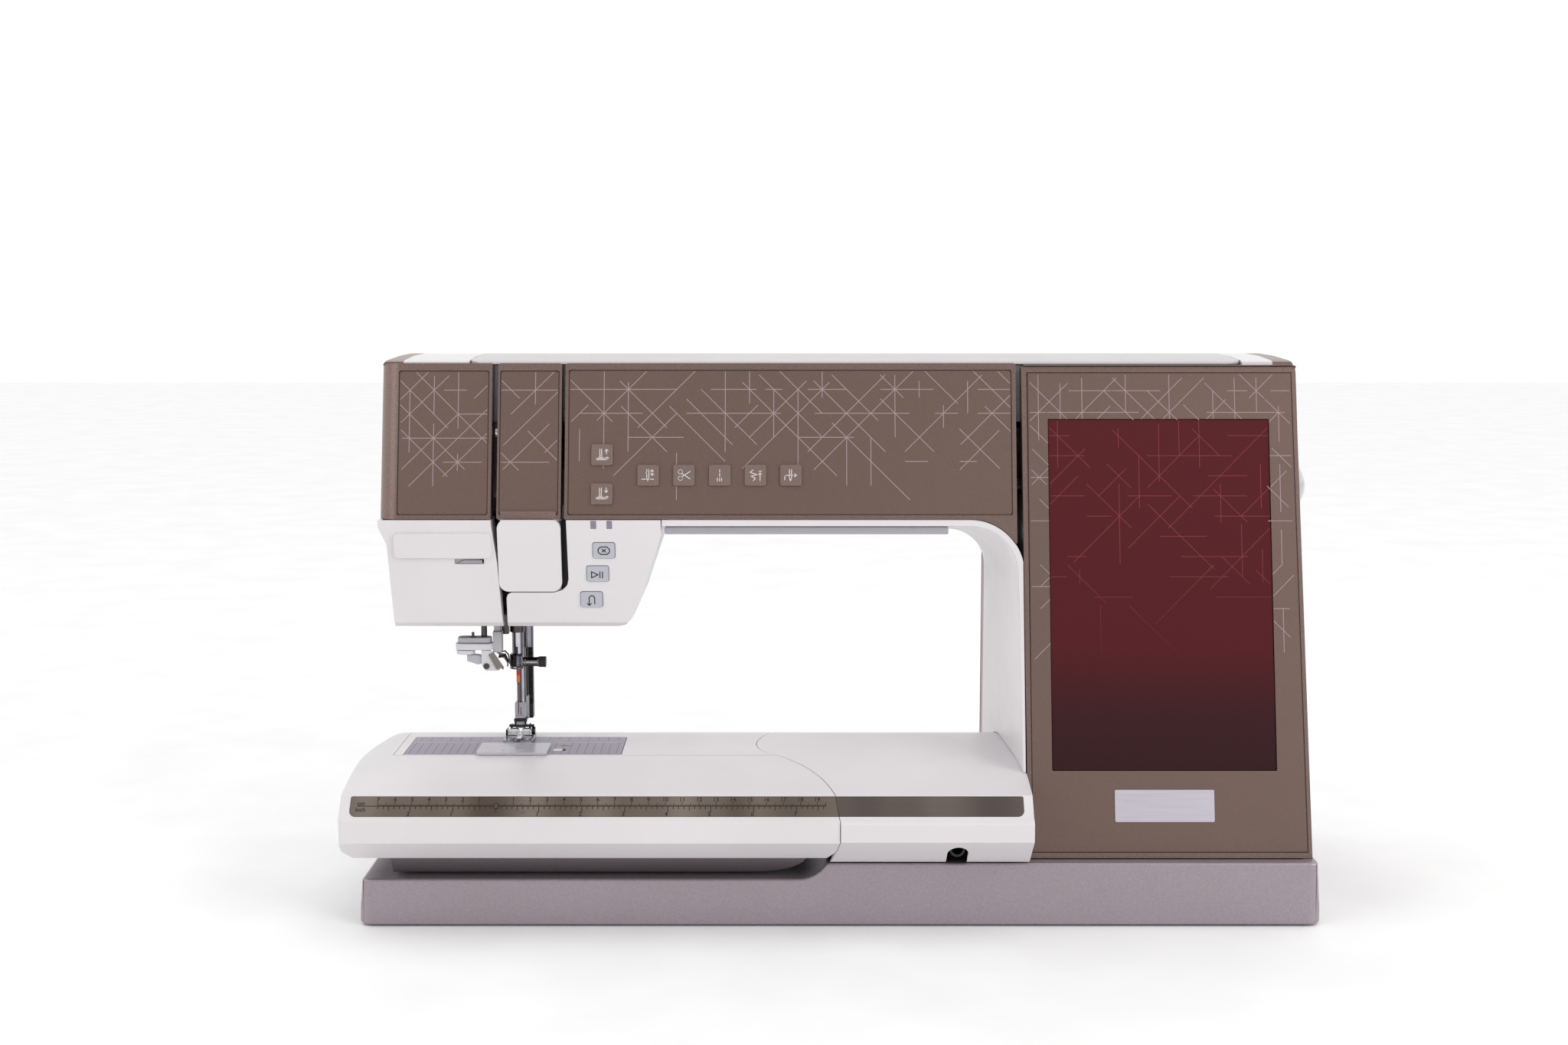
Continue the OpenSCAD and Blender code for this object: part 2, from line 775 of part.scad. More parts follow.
module tower_panel() color(taupe) difference() {
  tower_panel_body();
  translate([100, -100, 0]) cube([200, 100, base_high + 0.2]);
}

module tower_panel_body() on_face() difference() {
  along_y(0, cover_depth) tower_front(0);
  along_y(cover_t, cover_depth + 1) tower_front(cover_t);
  // Pocket of the inlay, window of the screen and seat of the badge
  along_y(-1, inlay_depth) polygon([[tower_left + 2.5, slope(43)], [tower_right_bottom - 2.3, slope(43)],
    [tower_right_top - 2.5, slope(330.5)], [tower_left + 2, slope(330.5)]]);
  along_y(-1, cover_t + 1) screen_area(gap, 1);
  along_y(-1, 1.6)
    rounded(badge_left - 0.3, slope(badge_low) - 0.3, badge_right + 0.3, slope(badge_high) + 0.3, 1);
}

module touch_screen() color([0.3, 0.12, 0.14]) on_face() {
  along_y(screen_inset, cover_t + 0.8) screen_area(0, 1);
  along_y(cover_t + 0.8, 11) screen_area(4, 2);
}

// Outline of the screen grown by a margin
module screen_area(margin, r) {
  translate([screen_x, screen_mid]) centred(screen_w + 2 * margin, screen_h + 2 * margin, r);
}

module badge_plate() color(steel) on_face()
  along_y(-0.4, 1.6) rounded(badge_left, slope(badge_low), badge_right, slope(badge_high), 1);

// Rear half of the tower: back, right side and the fixed right top piece
module tower_block(d) {
  left = tower_left - 12;
  low = base_high + 0.2 - d * 2;
  high = tower_top + 0.8;
  intersection() {
    along_y(-90, tower_back - d) polygon(concat([[left, low], [tower_right_bottom + 1.2 - d, low]],
      arc([tower_right_top + 2.8 - corner_r, high - corner_r], corner_r - d, 0, 90, 5),
      [[left, high - d]]));
    along_x(left - d * 2, 300) polygon([[-90, 30], [tower_back - d, 30], [tower_back - d, 318],
      [tower_back - 8 - d, high], [-90, high]]);
  }
}

module tower_rear_cover() color(white) difference() {
  union() {
    difference() {
      tower_block(0);
      tower_block(cover_t);
      translate([0, -100, 0]) cube([tower_left + 0.5, 193.2, 400]);
      translate([0, 0, 218.6]) cube([tower_left + 0.5, 100.4, 200]);
      translate([0, lid_front - 3, 300]) cube([lid_right + 0.6, lid_back - lid_front + 3.6, 60]);
    }
    mirror([1, 0, 0]) top_piece(-tower_right_top - 0.9, -lid_right - 0.6);
  }
  front_cover_space(-400, cover_depth, tower_top);
  translate([270, 0, shaft_z]) rotate([0, 90, 0]) cylinder(h = 40, r = shaft_r + 1.5);
  translate([270, -6, 54]) cube([40, 92, 42]);
}

// Block with the mains inlet, the switch opening and two data sockets
module connector_panel() color(dark) {
  difference() {
    translate([266, -5.6, 54.4]) cube([19.6, 91.2, 41.2]);
    translate([270, 52, 62]) cube([20, 27, 20]);
    translate([272, 30.5, 61.5]) cube([20, 15, 22]);
    for (y = [2, 14]) translate([273, y, 64]) cube([20, 7.5, 14.5]);
  }
  for (y = [58, 65.5, 73]) translate([269.9, y - 0.9, 70]) cube([10, 1.8, 4]);
  for (y = [4.6, 16.6]) translate([272.9, y, 66]) cube([8, 2.2, 10.5]);
}

module power_switch() color([0.2, 0.2, 0.2]) translate([284, 38, 72.5]) rotate([90, 0, 0])
  rotate([0, 0, -90]) linear_extrude(14, center = true)
    polygon([[-10, -3], [10, -3], [10, 1], [0, 1.8], [-10, 4]]);

module knee_lift_socket() color(dark) translate([70, -101, 50]) rotate([-90, 0, 0])
  difference() {
    cylinder(h = 30, r = 4.8);
    translate([0, 0, -1]) cylinder(h = 26, r = 3.25);
  }

// ---------- drive ----------

module handwheel() color(steel) translate([0, 0, shaft_z]) rotate([0, 90, 0])
  rotate_extrude() polygon([[0, wheel_back], [wheel_r, wheel_back], [wheel_r, wheel_back + 0.8],
    [wheel_r - 1.2, wheel_back + 1.8], [wheel_r - 4, wheel_face - 5], [wheel_r - 8, wheel_face - 2.8],
    [wheel_r - 13, wheel_face - 0.8], [0, wheel_face]]);

module main_shaft() color(steel) translate([0, 0, shaft_z]) rotate([0, 90, 0]) {
  translate([0, 0, -190]) cylinder(h = wheel_back + 190, r = shaft_r);
  translate([0, 0, -196]) cylinder(h = 6, r = 16);
  translate([12, 0, -199.4]) cylinder(h = 3.5, r = 2.5);
  translate([0, 0, pulley_x - 6]) cylinder(h = 12, r = pulley_r);
}

module lower_shaft() color(steel) translate([0, lower_shaft_y, lower_shaft_z]) rotate([0, 90, 0]) {
  translate([0, 0, needle_x - 12]) cylinder(h = pulley_x + 14 - needle_x, r = lower_shaft_r);
  translate([0, 0, needle_x - 4]) cylinder(h = 8, r = gear_r);
  translate([0, 0, pulley_x - 6]) cylinder(h = 12, r = pulley_r);
}

// Closed belt around the upper and lower pulley, 0.4 mm clear of both
module timing_belt() color(dark) {
  run = norm([lower_shaft_y, shaft_z - lower_shaft_z]);
  tilt = atan(lower_shaft_y / (shaft_z - lower_shaft_z));
  translate([pulley_x, lower_shaft_y, lower_shaft_z]) rotate([tilt, 0, 0]) difference() {
    belt_loop(run, pulley_r + 2, 9);
    belt_loop(run, pulley_r + 0.4, 10);
  }
}

module belt_loop(run, r, w) {
  along_x(-w / 2, w / 2) {
    circle(r);
    translate([0, run]) circle(r);
    translate([-r, 0]) square([2 * r, run]);
  }
}

module motor() color([0.25, 0.25, 0.27]) translate([0, motor_y, motor_z]) rotate([0, 90, 0]) {
  translate([0, 0, pulley_x + 18]) cylinder(h = 66, r = motor_r);
  translate([0, 0, pulley_x - 8]) cylinder(h = 26, r = 4);
}

// Aluminium frame that carries every shaft: arm beam, column and bed beam
module cast_frame() color([0.6, 0.61, 0.62]) difference() {
  union() {
    translate([-196, 24, 247]) cube([326, 42, 46]);
    translate([column_left, 24, 42]) cube([36, 56, 251]);
    translate([column_left - 392, 14, 49]) cube([392, 22, 34]);
    // Bearing pedestals of the main shaft
    for (x = [-176, -20, 128]) translate([x, -11, shaft_z - 11]) cube([16, 36, 22]);
    // Bearing pedestals of the lower shaft
    for (x = [-186, 132]) translate([x, lower_shaft_y - 9, lower_shaft_z - 9]) cube([14, 40, 18]);
    // Guides of the needle bar and presser bar
    for (z = [226, 280]) translate([-210.4, -7, z]) cube([10.2, 34, 8]);
    translate([-210.4, 24, 226]) cube([16, 6, 62]);
  }
  translate([-220, 0, shaft_z]) rotate([0, 90, 0]) cylinder(h = 400, r = shaft_r + fit);
  translate([-220, lower_shaft_y, lower_shaft_z]) rotate([0, 90, 0])
    cylinder(h = 400, r = lower_shaft_r + fit);
  translate([needle_x, 0, 200]) cylinder(h = 92, r = needle_bar_r + fit);
  translate([needle_x, presser_y, 200]) cylinder(h = 92, r = presser_r + fit);
}

// ---------- needle and foot ----------

module needle_bar() color(steel) translate([needle_x, 0, 150]) difference() {
  cylinder(h = 140, r = needle_bar_r);
  translate([0, 0, -1]) cylinder(h = 8, r = 1.1);
}

module needle_clamp() color([0.35, 0.34, 0.35]) translate([needle_x, 0, 0]) {
  difference() {
    translate([-5, -5, 140.5]) cube([10, 9, 9.4]);
    translate([0, 0, 139]) cylinder(h = 12, r = 1.1);
  }
  translate([5, 0, 145.2]) rotate([0, 90, 0]) cylinder(h = 9, r = 2);
  translate([14, 0, 145.2]) rotate([0, 90, 0]) cylinder(h = 4.5, r = 3.6);
}

module needle() color(steel) translate([needle_x, 0, 108.9]) rotate_extrude()
  polygon([[0, 0], [0.45, 4], [0.45, 20], [1.02, 24], [1.02, 45], [0, 45]]);

module take_up_lever() color(steel) translate([-213, 0, 0]) along_x(0, 1.5) difference() {
  union() {
    translate([8, 282]) circle(6);
    polygon([[8, 288], [-18, 296], [-21, 292], [5, 277]]);
    translate([-18, 293]) circle(3.2);
  }
  translate([8, 282]) circle(2.55);
  translate([-18, 293]) circle(1.4);
}

module presser_bar() color(steel) translate([needle_x, presser_y, 112]) cylinder(h = 173, r = presser_r);

module foot_ankle() color(steel) translate([needle_x, 0, 0]) difference() {
  union() {
    translate([-4.5, presser_y - 5, 104]) cube([9, 10, 16]);
    translate([-2, presser_y - 8, 98]) cube([4, 9, 8]);
    translate([4.5, presser_y, 113]) rotate([0, 90, 0]) cylinder(h = 5, r = 2.6);
  }
  translate([0, presser_y, 112]) cylinder(h = 20, r = presser_r + 0.01);
  translate([-5, presser_y - 5.5, 100.4]) rotate([0, 90, 0]) cylinder(h = 10, r = 1.05);
}

module presser_foot() color([0.82, 0.84, 0.87]) translate([needle_x, 0, 0]) {
  difference() {
    translate([0, 0, foot_z]) linear_extrude(2.4) rounded(-9.8, -11, 9.8, 17, 3);
    translate([0, 0, 90]) linear_extrude(9) rounded(-5, -1.6, 5, 1.6, 1.5);
    translate([-1.2, -12, 90]) cube([2.4, 11, 9]);
  }
  for (x = [-6.5, 2.8]) translate([x, 6.6, foot_z + 2]) cube([3.7, 8, 7.2]);
  translate([-6, presser_y - 5.5, 100.4]) rotate([0, 90, 0]) cylinder(h = 12, r = 1);
}

// Toothed strip that feeds the top fabric from behind the foot
module dual_feed_lever() color(dark) translate([needle_x + 2.6, 0, 0]) along_x(0, 4) difference() {
  union() {
    polygon(concat([[31, pivot_z], [24.5, pivot_z]],
      [for (i = [0:11], k = [0, 1]) [23.4 + k * 1.1, 160 - i * 4 - k * 2]],
      [[21.8, 112], [21.8, 103], [29, 103], [29, 150]]));
    translate([27.8, pivot_z]) circle(4);
  }
  translate([27.8, pivot_z]) circle(1.5);
}

module needle_threader() color([0.82, 0.82, 0.84]) {
  difference() {
    translate([-242, -15, 150]) cube([30, 12, 11]);
    translate([-232, -16, 156]) cube([12, 6, 7]);
  }
  translate([-236, -14, 141]) cube([16, 9, 9.5]);
  translate([-222, -12, 137.5]) cube([9, 2.5, 14]);
  translate([-226, -7, 160]) cylinder(h = 70, r = 2.4);
  translate([-234, -7, 160]) cylinder(h = 46, r = 1.3);
}

// ---------- fasteners ----------

module screw_head(r) {
  difference() {
    cylinder(h = 2.4, r = r);
    translate([0, 0, 1.2]) for (a = [0, 90]) rotate([0, 0, a]) cube([r * 1.3, 0.9, 3], center = true);
  }
}

module cover_screws() color(steel) {
  for (x = [-262, -138, -14, 90], z = [232, 326])
    translate([x, head_back + 8, z]) rotate([-90, 0, 0]) screw_head(3);
  for (x = [134, 268], z = [60, 300])
    translate([x, tower_back, z]) rotate([-90, 0, 0]) screw_head(3);
}

base();
rubber_feet();
bed_cover();
bed_strip();
free_arm();
needle_plate();
bobbin_cover();
feed_dog();
rotary_hook();
bobbin_case();
bobbin();
tray_shell();
tray_pan();
tray_ruler();
arch_liner();
led_strip();
arm_panel();
head_left_panel();
take_up_cover();
head_left_casing();
cutter_blade();
head_right_casing();
tower_panel();
touch_screen();
badge_plate();
tower_rear_cover();
arm_rear_cover();
top_lid();
spool_deck();
spool_pin();
winder_spindle();
handwheel();
main_shaft();
cast_frame();
lower_shaft();
timing_belt();
motor();
needle_bar();
needle_clamp();
needle();
take_up_lever();
presser_bar();
foot_ankle();
presser_foot();
dual_feed_lever();
needle_threader();
foot_up_button();
foot_down_button();
needle_button();
scissors_button();
baste_button();
tie_off_button();
thread_button();
stop_button();
start_button();
reverse_button();
connector_panel();
power_switch();
knee_lift_socket();
cover_screws();
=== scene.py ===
import math
import random

import bmesh
import bpy
from mathutils import Matrix, Vector


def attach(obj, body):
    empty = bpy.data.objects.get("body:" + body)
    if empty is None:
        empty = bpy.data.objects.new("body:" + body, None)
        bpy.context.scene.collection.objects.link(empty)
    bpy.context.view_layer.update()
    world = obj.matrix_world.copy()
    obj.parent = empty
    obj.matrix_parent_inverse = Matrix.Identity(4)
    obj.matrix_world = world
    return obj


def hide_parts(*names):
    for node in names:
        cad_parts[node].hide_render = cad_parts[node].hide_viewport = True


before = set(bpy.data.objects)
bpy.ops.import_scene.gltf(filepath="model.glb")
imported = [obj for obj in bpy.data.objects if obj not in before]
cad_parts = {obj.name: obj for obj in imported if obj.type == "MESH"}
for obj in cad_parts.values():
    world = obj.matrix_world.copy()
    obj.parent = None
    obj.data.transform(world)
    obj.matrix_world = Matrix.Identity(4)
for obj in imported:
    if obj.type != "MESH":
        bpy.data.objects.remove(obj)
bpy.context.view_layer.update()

MM = 0.001
BODY = "machine"

# Angles of the front covers and of the lower head from upright, in degrees
LEAN = 12.7
HEAD_LEAN = 10.4

# Driving sizes of the needle, bed and keys, in millimetres
NEEDLE_X = -203.75
BED_Z = 92.4
PLATE_PROUD = 0.2
KEY_PROUD = 1.1
HEAD_KEY_PROUD = 0.9

# The bed is flat behind this place and falls as a wide arc in front of it
BED_FLAT_EDGE = -30.2
BED_ARC_WIDTH = 654

# Seam between the bed and the tray: an arc in plan, in the middle of its gap
SEAM_CENTRE = (-162, -145.3)
SEAM_RADIUS = 164.1
SEAM_ANGLES = (14.5, 44.5)
SEAM_BACK = [(-45.1, -30), (-47.8, -24.5), (-49.6, -19), (-50.8, -13), (-51.2, -7.7),
             (-50.5, 1.8), (-47.8, 12.5)]

# Decorative plates in the covers: spacing of the pattern, underside and face
GRID = 15.0
INLAY_LOW = -0.78
INLAY_FACE = -0.3
PRINT = 0.02
SCREEN_FACE = -0.99

# Camera of the main view: place in metres, angle below the horizon, lens and film width
CAMERA_PLACE = (-0.03345, -1.3027, 0.393)
CAMERA_DOWN = 6.95
CAMERA_LENS = 47.46
CAMERA_FILM = 36


# ---------- surfaces to draw on ----------

def surface(y, z, pitch):
    """Frame of a flat surface: x across, y up along it, z out of it."""
    return Matrix.Translation((0, y * MM, z * MM)) @ Matrix.Rotation(math.radians(pitch), 4, "X")


FACE = surface(-85.4, 40, 90 - LEAN)
HEAD = surface(-41, 236, 90 + HEAD_LEAN)
STRIP = surface(-105, 83.85, 49.8)
BED = surface(0, BED_Z + PLATE_PROUD, 0)
UPRIGHT = surface(0, 0, 90)
LEVEL = surface(0, 0, 0)
# Upright across the machine: depth, height, then distance to the right
SIDE = Matrix(((0, 0, 1, 0), (1, 0, 0, 0), (0, 1, 0, 0), (0, 0, 0, 1)))


def up_face(z):
    """Distance along the leaning covers of the point at that height."""
    return (z - 40) / math.cos(math.radians(LEAN))


def up_head(z):
    """Distance along the lower head front of the point at that height."""
    return (z - 236) / math.cos(math.radians(HEAD_LEAN))


# ---------- materials ----------

def linear(r, g, b):
    """Scene colour of a screen colour given as 0 to 255."""
    def channel(c):
        c /= 255
        return c / 12.92 if c <= 0.04045 else ((c + 0.055) / 1.055) ** 2.4
    return (channel(r), channel(g), channel(b), 1)


class Finish:
    """A procedural material, built up one detail at a time."""

    def __init__(self, name, **sockets):
        self.material = bpy.data.materials.new(name)
        self.material.use_nodes = True
        self.tree = self.material.node_tree
        self.bsdf = self.tree.nodes["Principled BSDF"]
        self.place = self.node("ShaderNodeTexCoord").outputs["Object"]
        self.normal = None
        for socket, value in sockets.items():
            self.bsdf.inputs[socket.replace("_", " ")].default_value = value

    def node(self, kind, **settings):
        """Adds a shader node."""
        made = self.tree.nodes.new(kind)
        for name, value in settings.items():
            setattr(made, name, value)
        return made

    def link(self, source, target):
        """Joins two sockets."""
        self.tree.links.new(source, target)

    def stretched(self, scale):
        """Object coordinates stretched by three factors."""
        mapping = self.node("ShaderNodeMapping")
        mapping.inputs["Scale"].default_value = scale
        self.link(self.place, mapping.inputs["Vector"])
        return mapping.outputs["Vector"]

    def noise(self, scale, detail=2.0, stretch=None):
        """Noise with that many features a metre."""
        texture = self.node("ShaderNodeTexNoise")
        texture.inputs["Scale"].default_value = scale
        texture.inputs["Detail"].default_value = detail
        self.link(self.stretched(stretch) if stretch else self.place, texture.inputs["Vector"])
        return texture.outputs["Fac"]

    def cells(self, scale):
        """Random cells, as of metal flakes in a lacquer."""
        texture = self.node("ShaderNodeTexVoronoi")
        texture.inputs["Scale"].default_value = scale
        self.link(self.place, texture.inputs["Vector"])
        return texture.outputs["Color"]

    def ramp(self, factor, *stops):
        """Colours along a factor, each stop as position and colour."""
        made = self.node("ShaderNodeValToRGB")
        while len(made.color_ramp.elements) < len(stops):
            made.color_ramp.elements.new(0.5)
        for element, (position, colour) in zip(made.color_ramp.elements, stops):
            element.position = position
            element.color = colour
        self.link(factor, made.inputs["Fac"])
        return made.outputs["Color"]

    def levels(self, factor, low, high):
        """The factor spread from low to high."""
        made = self.node("ShaderNodeMapRange")
        made.inputs["From Min"].default_value = 0.3
        made.inputs["From Max"].default_value = 0.7
        made.inputs["To Min"].default_value = low
        made.inputs["To Max"].default_value = high
        self.link(factor, made.inputs["Value"])
        return made.outputs["Result"]

    def along(self, axis, start, end):
        """0 to 1 between two places along a row axis, in millimetres."""
        split = self.node("ShaderNodeSeparateXYZ")
        self.link(self.place, split.inputs["Vector"])
        made = self.node("ShaderNodeMapRange")
        made.inputs["From Min"].default_value = start * MM
        made.inputs["From Max"].default_value = end * MM
        self.link(split.outputs[axis], made.inputs["Value"])
        return made.outputs["Result"]

    def mix(self, factor, first, second):
        """Colour first turning to second as factor goes to 1; each is a colour or a socket."""
        made = self.node("ShaderNodeMix", data_type="RGBA")
        self.link(factor, made.inputs["Factor"])
        for key, value in (("A", first), ("B", second)):
            socket = [s for s in made.inputs if s.name == key and s.type == "RGBA"][0]
            if isinstance(value, tuple):
                socket.default_value = value
            else:
                self.link(value, socket)
        return [s for s in made.outputs if s.type == "RGBA"][0]

    def colour(self, socket):
        """Sets what drives the base colour."""
        self.link(socket, self.bsdf.inputs["Base Color"])
        return self

    def roughness(self, socket):
        """Sets what drives the roughness."""
        self.link(socket, self.bsdf.inputs["Roughness"])
        return self

    def bump(self, height, strength, depth):
        """Adds surface relief; depth is in millimetres."""
        made = self.node("ShaderNodeBump")
        made.inputs["Strength"].default_value = strength
        made.inputs["Distance"].default_value = depth * MM
        self.link(height, made.inputs["Height"])
        if self.normal:
            self.link(self.normal, made.inputs["Normal"])
        self.normal = made.outputs["Normal"]
        self.link(self.normal, self.bsdf.inputs["Normal"])
        return self


def shade(colour, factor):
    """The colour made darker or brighter."""
    return tuple(min(1, c * factor) for c in colour[:3]) + (1,)


def moulded(name, colour, rough=0.35, grain=0.04, **sockets):
    """Injection-moulded plastic: spark-eroded grain and slight flow marks."""
    made = Finish(name, **sockets)
    clouds = made.noise(14, 3)
    made.colour(made.ramp(clouds, (0.3, shade(colour, 0.965)), (0.7, shade(colour, 1.02))))
    made.roughness(made.levels(made.noise(60, 4), rough - 0.04, rough + 0.05))
    made.bump(made.noise(1500, 3), 0.35, grain)
    made.bump(made.noise(45, 1), 0.12, 0.15)
    return made.material


def lacquer(name, colour, bright, rough=0.36, coat=0.2, peel=0.04, peel_scale=450):
    """Metallic lacquer: flakes, soft clouding and a little orange peel."""
    made = Finish(name, Metallic=0.6, Coat_Weight=coat, Coat_Roughness=0.22, Coat_IOR=1.45)
    flakes = made.cells(4200)
    flaked = made.mix(made.levels(flakes, 0.0, 0.55), colour, bright)
    clouded = made.mix(made.levels(made.noise(18, 3), 0.0, 0.12), flaked, shade(colour, 0.8))
    made.colour(clouded)
    made.roughness(made.levels(made.noise(2600, 2), rough - 0.07, rough + 0.09))
    made.bump(made.noise(2400, 2), 0.25, 0.02)
    made.bump(made.noise(peel_scale, 1), 0.12, peel)
    return made.material


def brushed(name, colour, stretch, rough=0.3, contrast=0.22, **sockets):
    """Brushed metal: fine scratches along the axis with the small stretch."""
    made = Finish(name, **{"Metallic": 0.9, **sockets})
    lines = made.noise(1, 5, stretch)
    made.colour(made.ramp(
        lines, (0.32, shade(colour, 1 - contrast)), (0.68, shade(colour, 1 + contrast))))
    made.roughness(made.levels(lines, rough - 0.08, rough + 0.12))
    made.bump(lines, 0.2, 0.02)
    return made.material


def banded(name, dark, bright):
    """Brushed strip with broad soft bands across it, painted sheen that stands in for reflections."""
    made = Finish(name, Metallic=0.85)
    lines = made.noise(1, 5, (10, 5200, 5200))
    # Broad bands along the strip are painted sheen, lighter and darker reflections.
    bands = made.ramp(made.noise(1, 1, (26, 0.5, 0.5)), (0.3, dark), (0.7, bright))
    made.colour(made.mix(made.levels(lines, 0.0, 0.35), bands, shade(dark, 0.8)))
    made.roughness(made.levels(lines, 0.3, 0.46))
    made.bump(lines, 0.15, 0.015)
    return made.material


def polished(name, colour, rough=0.12):
    """Turned and plated metal with handling marks."""
    made = Finish(name, Metallic=1.0)
    smears = made.noise(120, 4)
    made.colour(made.ramp(smears, (0.3, shade(colour, 0.93)), (0.7, shade(colour, 1.04))))
    made.roughness(made.levels(smears, rough - 0.04, rough + 0.1))
    made.bump(made.noise(900, 2), 0.08, 0.01)
    return made.material


def striped(name, axis, start, end, *stops):
    """Plated round metal with dark and bright bands across it between two places, painted reflections of
    its surroundings.
    """
    made = Finish(name, Metallic=0.9)
    # The bands along the axis are painted reflections, dark and light, as a polished rod would mirror
    # them.
    reflection_bands = made.ramp(made.along(axis, start, end), *stops)
    made.colour(made.mix(made.levels(made.noise(140, 4), 0.0, 0.25), reflection_bands, BLACK))
    made.roughness(made.levels(made.noise(120, 4), 0.08, 0.2))
    made.bump(made.noise(900, 2), 0.08, 0.01)
    return made.material


def clear(name, tint, transmission, ior, rough=0.06):
    """Clear polycarbonate with fine wiping scratches."""
    made = Finish(name, Transmission_Weight=transmission, IOR=ior)
    made.colour(made.ramp(made.noise(25, 2), (0.3, shade(tint, 0.97)), (0.7, tint)))
    made.roughness(made.levels(made.noise(260, 4), rough, rough + 0.09))
    made.bump(made.noise(420, 2), 0.05, 0.02)
    return made.material


WHITE = linear(222, 218, 220)
BLACK = linear(30, 28, 30)
TAUPE = linear(116, 95, 87)
TAUPE_FLAKE = linear(158, 134, 130)

white_plastic = moulded("white_plastic", WHITE, 0.36, 0.035, Coat_Weight=0.1, Coat_Roughness=0.3)
taupe_lacquer = lacquer("taupe_lacquer", TAUPE, TAUPE_FLAKE)
inlay_finish = lacquer("inlay_finish", linear(112, 92, 84), linear(130, 108, 101), 0.46, 0.1)
key_lacquer = lacquer("key_lacquer", linear(134, 114, 107), linear(156, 134, 128), 0.34)
base_finish = lacquer(
    "base_finish", linear(152, 141, 147), linear(188, 177, 185), 0.44, 0.08, 0.25, 800)
line_print = moulded("line_print", linear(160, 138, 140), 0.45, 0.01)
light_print = moulded("light_print", linear(214, 206, 205), 0.45, 0.01)
grey_light = moulded("grey_light", linear(150, 142, 138), 0.5, 0.01)
dark_print = moulded("dark_print", linear(26, 23, 24), 0.6, 0.01)
key_print = moulded("key_print", linear(38, 36, 44), 0.7, 0.01)
grey_print = moulded("grey_print", linear(92, 88, 97), 0.5, 0.01)
grey_plastic = moulded("grey_plastic", linear(186, 184, 190), 0.42, 0.05)
pale_plastic = moulded("pale_plastic", linear(214, 212, 216), 0.35, 0.03)
# Grey-taupe of the tray pan: partly its own tone, partly painted shade under the tray.
pan_tone_and_shade = lacquer("pan_tone_and_shade", linear(122, 114, 117), linear(140, 131, 135), 0.34)
# Dark taupe line in the inlay grooves, painted shade.
groove_shade = lacquer("groove_shade", linear(66, 53, 49), linear(84, 70, 64))
# Dark wire in the bed seam, painted shade in the gap.
seam_shade = moulded("seam_shade", linear(62, 54, 54), 0.6, 0.03)
# Grey floor of the cutter slot, painted shade in the recess.
slot_shade_grey = moulded("slot_shade_grey", linear(168, 160, 162), 0.5, 0.04)
lid_plastic = moulded("lid_plastic", linear(202, 197, 198), 0.42, 0.04)
deck_plastic = moulded("deck_plastic", linear(206, 204, 206), 0.45, 0.08)
black_plastic = moulded("black_plastic", linear(30, 29, 31), 0.42, 0.06)
key_plastic = moulded("key_plastic", linear(181, 182, 191), 0.33, 0.02, Coat_Weight=0.2)
lamp_plastic = moulded("lamp_plastic", linear(126, 122, 138), 0.3, 0.01, Coat_Weight=0.4)
diffuser = brushed("diffuser", linear(176, 172, 182), (40, 900, 900), 0.34, 0.05)
rubber = moulded("rubber", linear(30, 30, 31), 0.75, 0.15)
# Both strips carry broad bands of painted sheen.
strip_metal = banded("strip_metal", linear(86, 74, 65), linear(146, 134, 124))
dark_strip_metal = banded("dark_strip_metal", linear(84, 75, 71), linear(116, 105, 100))
badge_metal = brushed("badge_metal", linear(206, 201, 211), (30, 4200, 4200), 0.36, 0.05, Metallic=0.55)
plate_metal = brushed("plate_metal", linear(158, 152, 165), (40, 2600, 2600), 0.45, 0.05)
steel = polished("steel", linear(158, 156, 161), 0.2)
needle_steel = polished("needle_steel", linear(104, 92, 84), 0.25)
chrome = polished("chrome", linear(196, 195, 201), 0.07)
# Tones of painted reflections: the plated rods, the needle clamp body and its arm get them as bands
# along one axis.
PALE, MIDDLE, DARK = linear(206, 206, 214), linear(140, 138, 148), linear(64, 60, 66)
needle_bar_chrome = striped("needle_bar_chrome", "X", NEEDLE_X - 3.5, NEEDLE_X + 3.5, (0, DARK),
                            (0.16, MIDDLE), (0.34, DARK), (0.46, PALE), (0.72, PALE),
                            (0.84, MIDDLE), (1, DARK))
bar_chrome = striped("bar_chrome", "X", NEEDLE_X - 3, NEEDLE_X + 3, (0, MIDDLE), (0.5, DARK),
                     (0.6, MIDDLE), (0.72, PALE), (0.86, MIDDLE), (1, DARK))
sleeve_chrome = striped("sleeve_chrome", "X", NEEDLE_X + 1.4, NEEDLE_X + 7.8, (0, DARK),
                        (0.25, MIDDLE), (0.45, PALE), (0.6, MIDDLE), (0.8, MIDDLE), (1, DARK))
clamp_metal = striped("clamp_metal", "X", NEEDLE_X - 5, NEEDLE_X + 4, (0, MIDDLE), (0.1, BLACK),
                      (0.5, BLACK), (0.56, MIDDLE), (0.8, DARK), (0.94, MIDDLE))
arm_metal = striped("arm_metal", "Z", 141.6, 147.6, (0, BLACK), (0.22, MIDDLE), (0.34, DARK),
                    (0.55, PALE), (0.72, DARK), (1, BLACK))
foot_metal = moulded("foot_metal", linear(176, 174, 181), 0.3, 0.02, Metallic=0.35)
dark_chrome = polished("dark_chrome", linear(78, 72, 72), 0.08)
bracket_metal = polished("bracket_metal", linear(134, 124, 118), 0.3)
cast_metal = moulded("cast_metal", linear(128, 129, 132), 0.55, 0.25, Metallic=0.75)
clear_plastic = clear("clear_plastic", linear(228, 228, 234), 0.93, 1.45)
window_plastic = clear("window_plastic", linear(232, 230, 235), 0.55, 1.2, 0.12)
mark_paint = moulded("mark_paint", linear(196, 34, 26), 0.4, 0.01)
mark_paint_low = moulded("mark_paint_low", linear(214, 110, 40), 0.4, 0.01)


